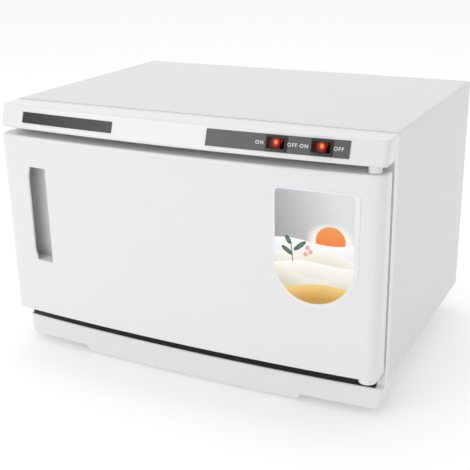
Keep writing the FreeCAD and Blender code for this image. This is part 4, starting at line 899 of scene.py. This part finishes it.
# %% Filaments
TURNS = 9
TURN_PITCH = 0.6 * MM
COIL = 0.9 * MM
tungsten = Finish("lamp_tungsten", Metallic=1.0)
drawn = tungsten.noise(3000, 2)
tungsten.put(Base_Color=tungsten.mix(drawn, grey(0.22), grey(0.34)), Roughness=0.4)
for label, way in (("left", -1), ("right", 1)):
    pick(None)
    bpy.ops.mesh.primitive_circle_add(vertices=8, radius=0.16 * MM, location=(COIL, 0, 0),
                                      rotation=(math.radians(90), 0, 0))
    coil = settle(bpy.context.object)
    modify(coil, "SCREW", axis="Z", screw_offset=TURN_PITCH, iterations=TURNS, steps=14,
           render_steps=14, use_normal_calculate=True)
    coil.location = (0, 0, -TURNS * TURN_PITCH / 2)
    settle(coil)
    coil.rotation_euler = (math.radians(90), 0, 0)
    coil.location = lamp_at + Vector((way * (CAP_FROM - 6 * MM), 0, 0))
    parts = [settle(coil)]
    for side in (-1, 1):
        pick(None)
        bpy.ops.mesh.primitive_cylinder_add(
            vertices=12, radius=0.35 * MM, depth=7 * MM, rotation=(0, math.radians(90), 0),
            location=lamp_at + Vector((way * (CAP_FROM - 2.8 * MM), side * PIN_SPREAD, 0)))
        stem = settle(bpy.context.object)
        parts.append(round_edges(stem, 0.1 * MM, 2))
    hand_in(join(f"lamp_filament_{label}", parts), "cabinet", tungsten, "zinc_steel")

# %% [markdown]
# ## Door seal
# Soft silicone is extruded as a long profile, cut, and joined into a ring: a flat foot held
# in the door's groove, a hollow bulb that is squeezed against the cabinet, and two thin lips
# that keep the bulb straight. Each of the three is a closed outline carried round the loop.

# %% Seal
SEAL_FOOT = 4.4 * MM
SEAL_BULB = 3.1 * MM
seal_low, seal_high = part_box("door_gasket")
seal_wide = seal_high[0] - seal_low[0] - 2 * SEAL_FOOT
seal_tall = seal_high[2] - seal_low[2] - 2 * SEAL_FOOT
SEAL_CORNER = 18.4 * MM
strips = []
for middle, half_width, half_height, aside in (
        (1.1, 4.3, 1.05, 0), (4.45, 3.0, 3.2, 0), (3.0, 0.55, 1.9, -3.3), (3.0, 0.55, 1.9, 3.3)):
    pick(None)
    bpy.ops.curve.primitive_bezier_circle_add(radius=1)
    profile = bpy.context.object
    profile.scale = (half_width * MM, half_height * MM, 1)
    profile.location = (aside * MM, middle * MM, 0)
    settle(profile)
    profile.data.resolution_u = 6
    strip = rounded_loop(seal_wide, seal_tall, SEAL_CORNER)
    strip.data.dimensions = "2D"
    strip.data.fill_mode = "NONE"
    strip.data.bevel_mode = "OBJECT"
    strip.data.bevel_object = profile
    strips.append(to_mesh(strip))
    bpy.data.objects.remove(profile)
seal_ring = join("door_seal", strips)
seal_ring.rotation_euler = (math.radians(-90), 0, 0)
seal_ring.location = (0, seal_low[1], (seal_low[2] + seal_high[2]) / 2)
settle(seal_ring)
edit(seal_ring)
bpy.ops.mesh.select_all(action="SELECT")
bpy.ops.mesh.normals_make_consistent(inside=False)
done()
hand_in(seal_ring, "door", seal, "seal_rubber", "door_gasket", angle=60)

# %% [markdown]
# ## Insulating felt
# A thick mat of fibres is wrapped round the chamber to keep its heat in. The solid from the
# CAD model says how much room it takes. A copy of it is meshed anew in small even faces, and
# a cloudy pattern pushes them inwards here and there, so that the mat looks soft and tufted
# but never leaves its room.

# %% Felt
solid = frame["nodes"]["chamber_insulation"]
felt = bpy.data.objects.new("chamber_felt", solid.data.copy())
bpy.context.scene.collection.objects.link(felt)
edit(felt)
bpy.ops.mesh.select_all(action="SELECT")
bpy.ops.mesh.remove_doubles(threshold=0.01 * MM)
done()
felt.data.remesh_voxel_size = 6 * MM
pick(felt)
bpy.ops.object.voxel_remesh()
tuft = bpy.data.textures.new("tuft", "CLOUDS")
tuft.noise_scale = 0.018
tuft.noise_depth = 2
modify(felt, "DISPLACE", texture=tuft, strength=4 * MM, mid_level=1.0)
hand_in(felt, "cabinet", wool, "insulating_wool", "chamber_insulation", angle=80)

# %% [markdown]
# ## Wires behind the switches
# Three insulated wires run from the switches over the chamber and down to the terminal block.
# They are cut a little long and lie loosely twisted, so each follows the route at its own
# side of the bundle, and the side turns slowly along the way. Nylon ties hold them together.

# %% Wires
WIRE_RADIUS = 1.1 * MM
WIRE_SPREAD = 1.3 * MM
CUTS = 7
TWISTS = 3.5
bundle_low, bundle_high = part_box("wiring_harness")
bundle_radius = (bundle_high[0] - bundle_low[0]) / 2
bundle_x = (bundle_low[0] + bundle_high[0]) / 2
bundle_top = bundle_high[2] - bundle_radius
bundle_rear = bundle_high[1] - bundle_radius
bundle_start = bundle_low[1]
bundle_end = bundle_low[2]
level_run = bundle_rear - bundle_start
whole_run = level_run + bundle_top - bundle_end


def beside_route(share, side):
    """Point on one side of the bundle, at a share of the way along it."""
    angle = math.radians(360 * (TWISTS * share + side / 3))
    aside = math.cos(angle) * WIRE_SPREAD
    over = math.sin(angle) * WIRE_SPREAD
    gone = share * whole_run
    if gone < level_run:
        return (bundle_x + aside, bundle_start + gone, bundle_top + over)
    return (bundle_x + aside, bundle_rear + over, bundle_top - (gone - level_run))


wire_tones = {
    "brown": ((0.10, 0.045, 0.02), (0.17, 0.08, 0.035)),
    "blue": ((0.02, 0.07, 0.22), (0.04, 0.12, 0.33)),
    "earth": ((0.10, 0.24, 0.03), (0.55, 0.50, 0.05)),
}
for side, (label, (low_tone, high_tone)) in enumerate(wire_tones.items()):
    pick(None)
    bpy.ops.curve.primitive_nurbs_path_add()
    bpy.ops.object.mode_set(mode="EDIT")
    bpy.ops.curve.select_all(action="SELECT")
    bpy.ops.curve.subdivide(number_cuts=CUTS)
    bpy.ops.object.mode_set(mode="OBJECT")
    wire = bpy.context.object
    points = wire.data.splines[0].points
    for index, point in enumerate(points):
        point.co = (*beside_route(index / (len(points) - 1), side), 1)
    wire.data.bevel_depth = WIRE_RADIUS
    wire.data.bevel_resolution = 3
    wire.data.use_fill_caps = True
    wire = to_mesh(wire)
    wire.name = f"wire_{label}"
    replaced = ["wiring_harness"] if side == 0 else []
    hand_in(wire, "cabinet", moulded(f"{label}_wire", low_tone, high_tone, 0.35, 800),
            "wire_sleeve", *replaced, angle=60)

ties = []
for share in (0.12, 0.3, 0.48):
    pick(None)
    bpy.ops.mesh.primitive_torus_add(major_radius=2.5 * MM, minor_radius=0.6 * MM,
                                     major_segments=28, minor_segments=8,
                                     rotation=(math.radians(90), 0, 0),
                                     location=(bundle_x, bundle_start + share * whole_run,
                                               bundle_top))
    band = bpy.context.object
    band.scale = (1, 1, 2.2)
    settle(band)
    lock = add_block("lock", (bundle_x - 1.6 * MM, -1.8 * MM, bundle_top + 1.8 * MM),
                     (bundle_x + 1.6 * MM, 1.8 * MM, bundle_top + 4.4 * MM))
    round_edges(lock, 0.4 * MM, 2)
    lock.location = (0, bundle_start + share * whole_run, 0)
    ties.extend([band, settle(lock)])
hand_in(join("wire_ties", ties), "cabinet", ivory, "socket_plastic")

# %% [markdown]
# ## Rivets of the lamp guard
# The guard is held to the chamber's roof by blind rivets through its two flanges. A rivet's
# head is a flat dome with the broken end of its mandrel showing in a small hole.

# %% Rivets
RIVET = 2.6 * MM
guard_low, guard_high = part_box("lamp_guard")
pick(None)
bpy.ops.mesh.primitive_uv_sphere_add(segments=24, ring_count=12, radius=RIVET)
rivet = bpy.context.object
rivet.scale = (1, 1, 0.42)
settle(rivet)
edit(rivet, "VERT")
choose("VERT", lambda at, vert: at.z > 0.01 * MM)
bpy.ops.mesh.delete(type="VERT")
edit(rivet, "VERT")
choose("VERT", lambda at, vert: at.z < -RIVET * 0.4)
bpy.ops.mesh.select_more()
bpy.ops.transform.translate(value=(0, 0, 0.5 * MM))
done()
rivets = [copy_to(rivet, (x * MM, y, guard_high[2] - 0.8 * MM))
          for x in (-70, 0, 70) for y in (guard_low[1] + 4 * MM, guard_high[1] - 4 * MM)]
bpy.data.objects.remove(rivet)
hand_in(join("guard_rivets", rivets), "cabinet", zinc, "zinc_steel", angle=50)

# %% [markdown]
# ## The printed label on the door
# The label is a thin film with a print behind a clear gloss. Its design is drawn by sums on
# the object's own coordinates: a grey sky, a low red sun, dunes of sand one behind the other,
# and a sprig with two leaves. Each shape is a distance or a height that is compared with a
# size, and each comparison gives a mask that chooses between two colours.

# %% Label print
film = Finish("printed_label", Specular_IOR_Level=0.5, Coat_Roughness=0.05)
LABEL_MIDDLE = (157.9 * MM, 0, 166 * MM)
EDGE = 0.25 * MM
across, _, up = film.axes(LABEL_MIDDLE)


def inside(distance, size, soft=EDGE):
    """Mask that is 1 where a distance is below a size."""
    return film.spread(distance, size - soft, size + soft, 1, 0)


def sine(angle):
    return angle.math("SINE", angle)


def oval(x, z, half_width, half_height, turn=0):
    """Distance from the middle of an oval, 1 at its edge."""
    cosine = math.cos(math.radians(turn))
    slope = math.sin(math.radians(turn))
    along = (across - x * MM) * cosine + (up - z * MM) * slope
    aside = (up - z * MM) * cosine - (across - x * MM) * slope
    long = along / (half_width * MM)
    short = aside / (half_height * MM)
    return (long * long + short * short) ** 0.5


def ridge(level, swell, waves, start, slope):
    """How far a point lies above the crest of a dune."""
    return up - level * MM - sine(across * waves + start) * (swell * MM) - across * slope


below = up.math("MINIMUM", up, 0.0)
round_end = (across * across + below * below) ** 0.5
beside_corner = across.math("MAXIMUM", abs(across) - 36.2 * MM, 0.0)
over_corner = across.math("MAXIMUM", up - 71.2 * MM, 0.0)
corner = (beside_corner * beside_corner + over_corner * over_corner) ** 0.5
frame_mask = inside(round_end, 40.2 * MM) * inside(corner, 4 * MM)
haze = film.noise(60, 3)
speck = film.noise(1500, 2)
shade = film.spread(across + up * 0.35, -34 * MM, 46 * MM)
sky = film.mix(shade, grey(0.29, (1, 1, 1.02)), grey(0.70, (1, 1, 1.02)))
glow = film.spread(oval(17, 27, 22, 17), 0.75, 1.15, 1, 0)
warm = film.mix(film.spread(up, 8 * MM, 42 * MM), (0.86, 0.10, 0.02, 1), (0.84, 0.30, 0.04, 1))
picture = film.mix(film.spread(oval(17, 27, 15, 15), 0.97, 1.03, 1, 0),
                   film.mix(glow, sky, (0.93, 0.90, 0.84, 1)), warm)
DUNES = (
    (25, 4.5, 55, 3.4, 0.10, (0.93, 0.93, 0.94), (0.80, 0.80, 0.82)),
    (13, 4.0, 75, 0.6, -0.06, (0.90, 0.88, 0.80), (0.72, 0.68, 0.54)),
    (2, 3.2, 60, 2.4, 0.08, (0.92, 0.91, 0.87), (0.78, 0.75, 0.66)),
    (-10, 3.5, 80, 4.6, -0.05, (0.84, 0.82, 0.72), (0.62, 0.60, 0.44)),
    (-22, 2.8, 66, 1.2, 0.07, (0.88, 0.58, 0.16), (0.52, 0.26, 0.03)),
)
for level, swell, waves, start, slope, crest, foot_tone in DUNES:
    above = ridge(level, swell, waves, start, slope)
    sand = film.mix(film.spread(above, -16 * MM, 0) + speck * 0.06, (*foot_tone, 1), (*crest, 1))
    picture = film.mix(inside(above, 0), picture, sand)
stem = inside(abs(across + 21 * MM + sine(up * 60) * (2 * MM)), 0.45 * MM)
stem = stem * film.spread(up, 2 * MM, 3 * MM) * inside(up, 22 * MM)
picture = film.mix(stem, picture, (0.05, 0.12, 0.06, 1))
for x, z, turn, length in ((-27, 13, -35, 7), (-14, 19, 40, 8), (-26, 24, -60, 5)):
    leaf = oval(x, z, length, 2.4, turn)
    picture = film.mix(inside(leaf, 1, 0.06), picture,
                       film.mix(leaf, (0.10, 0.20, 0.09, 1), (0.03, 0.09, 0.05, 1)))
for x, z in ((-8, 11), (-3, 14), (-6, 18)):
    berry = oval(x, z, 2.2, 2.2)
    picture = film.mix(inside(berry, 1, 0.08), picture,
                       film.mix(berry, (0.93, 0.52, 0.40, 1), (0.80, 0.20, 0.10, 1)))
border = film.mix(film.noise(25), (0.74, 0.75, 0.80, 1), (0.80, 0.80, 0.83, 1))
film.put(Base_Color=film.mix(frame_mask, border, picture),
         Roughness=film.spread(haze, 0.3, 0.7, 0.22, 0.28), Coat_Weight=0.4)

# %% Dress the solids that keep their shape
dress(enamel, "outer_shell", "rear_panel")
dress(moulding, "door_shell", "door_inner_panel", "upper_hinge", "lower_hinge")
dress(cup_moulding, "recess_cup")
dress(front_moulding, "front_frame")
dress(zinc, "base_pan", "catch_plates", "hinge_nut", "lamp_ballast")
dress(liner, "chamber_liner", "lamp_guard", "drip_tray")
dress(brushed, "control_plate")
dress(charcoal, "label_plate")
dress(dark, "thermostat", "thermal_fuse", "cord_gland")
dress(ivory, "lamp_sockets", "lamp_starter", "terminal_block", "upper_bushing", "lower_bushing")
dress(foot, "foot_front_left", "foot_front_right", "foot_rear_left", "foot_rear_right")
dress(mat, "heater_mat")
dress(magnet, "door_magnets")
dress(foam, "door_foam")
dress(film, "door_sticker")

# %% [markdown]
# ## Table, light and camera
# The cabinet stands on a pale table that runs out of sight. White surroundings give the soft
# light of a studio tent, and two broad lamps lift the front and the top a little. The camera
# stands to the right of the door and looks down on it.

# %% Table
pick(None)
bpy.ops.mesh.primitive_plane_add(size=1, location=(0, 0, 0))
table = bpy.context.object
table.name = "table"
table.scale = (14, 14, 1)
settle(table)
table_top = Finish("pale_table", Emission_Color=grey(1), Emission_Strength=0.34)
mottle = table_top.noise(3, 3)
table_top.put(Base_Color=table_top.mix(mottle, grey(0.69), grey(0.70)),
              Roughness=table_top.spread(mottle, 0.3, 0.7, 0.75, 0.85))
table.data.materials.append(table_top.material)

# %% Light
world = bpy.data.worlds.new("studio")
bpy.context.scene.world = world
world.use_nodes = True
sky = world.node_tree
height = sky.nodes.new("ShaderNodeSeparateXYZ")
dome = sky.nodes.new("ShaderNodeMapRange")
dome.inputs["From Min"].default_value = 0.1
dome.inputs["From Max"].default_value = 1.0
dome.inputs["To Min"].default_value = 0.98
dome.inputs["To Max"].default_value = 0.80
sky.links.new(sky.nodes.new("ShaderNodeTexCoord").outputs["Generated"], height.inputs[0])
sky.links.new(height.outputs["Z"], dome.inputs["Value"])
side = sky.nodes.new("ShaderNodeMapRange")
side.inputs["From Min"].default_value = -1.0
side.inputs["To Min"].default_value = 1.06
side.inputs["To Max"].default_value = 0.86
sky.links.new(height.outputs["X"], side.inputs["Value"])
both = sky.nodes.new("ShaderNodeMath")
both.operation = "MULTIPLY"
sky.links.new(dome.outputs[0], both.inputs[0])
sky.links.new(side.outputs[0], both.inputs[1])
sky.links.new(both.outputs[0], sky.nodes["Background"].inputs["Strength"])
sky.nodes["Background"].inputs["Color"].default_value = grey(1)


def add_lamp(name, place, target, width, power):
    pick(None)
    bpy.ops.object.light_add(type="AREA", location=place)
    lamp = bpy.context.object
    lamp.name = name
    lamp.data.shape = "SQUARE"
    lamp.data.size = width
    lamp.data.energy = power
    aim = Vector(target) - Vector(place)
    lamp.rotation_euler = aim.to_track_quat("-Z", "Y").to_euler()


add_lamp("front_lamp", (-1.3, -2.1, 1.0), (0, 0, 0.15), 1.4, 11)
add_lamp("top_lamp", (-0.2, 0.4, 2.2), (0, 0, 0.15), 1.4, 9)

# %% Camera
CAMERA_PLACE = Vector((0.4556, -0.92075, 0.489))
AROUND = math.radians(26.98)
DOWN = math.radians(19.8)
ROLL = math.radians(-0.99)
FOCAL_PIXELS = 891.6
IMAGE_WIDTH = 470
forward = Vector((-math.sin(AROUND) * math.cos(DOWN), math.cos(AROUND) * math.cos(DOWN),
                  -math.sin(DOWN)))
right = forward.cross(Vector((0, 0, 1))).normalized()
up = right.cross(forward)
rolled_right = math.cos(ROLL) * right + math.sin(ROLL) * up
rolled_up = math.cos(ROLL) * up - math.sin(ROLL) * right
bpy.ops.object.camera_add(location=CAMERA_PLACE)
camera = bpy.context.object
camera.rotation_euler = Matrix((rolled_right, rolled_up, -forward)).transposed().to_euler()
camera.data.sensor_width = 36
camera.data.lens = FOCAL_PIXELS / IMAGE_WIDTH * camera.data.sensor_width
bpy.context.scene.camera = camera
bpy.context.scene.view_settings.view_transform = "Standard"
print("lens", round(camera.data.lens, 2), "mm")
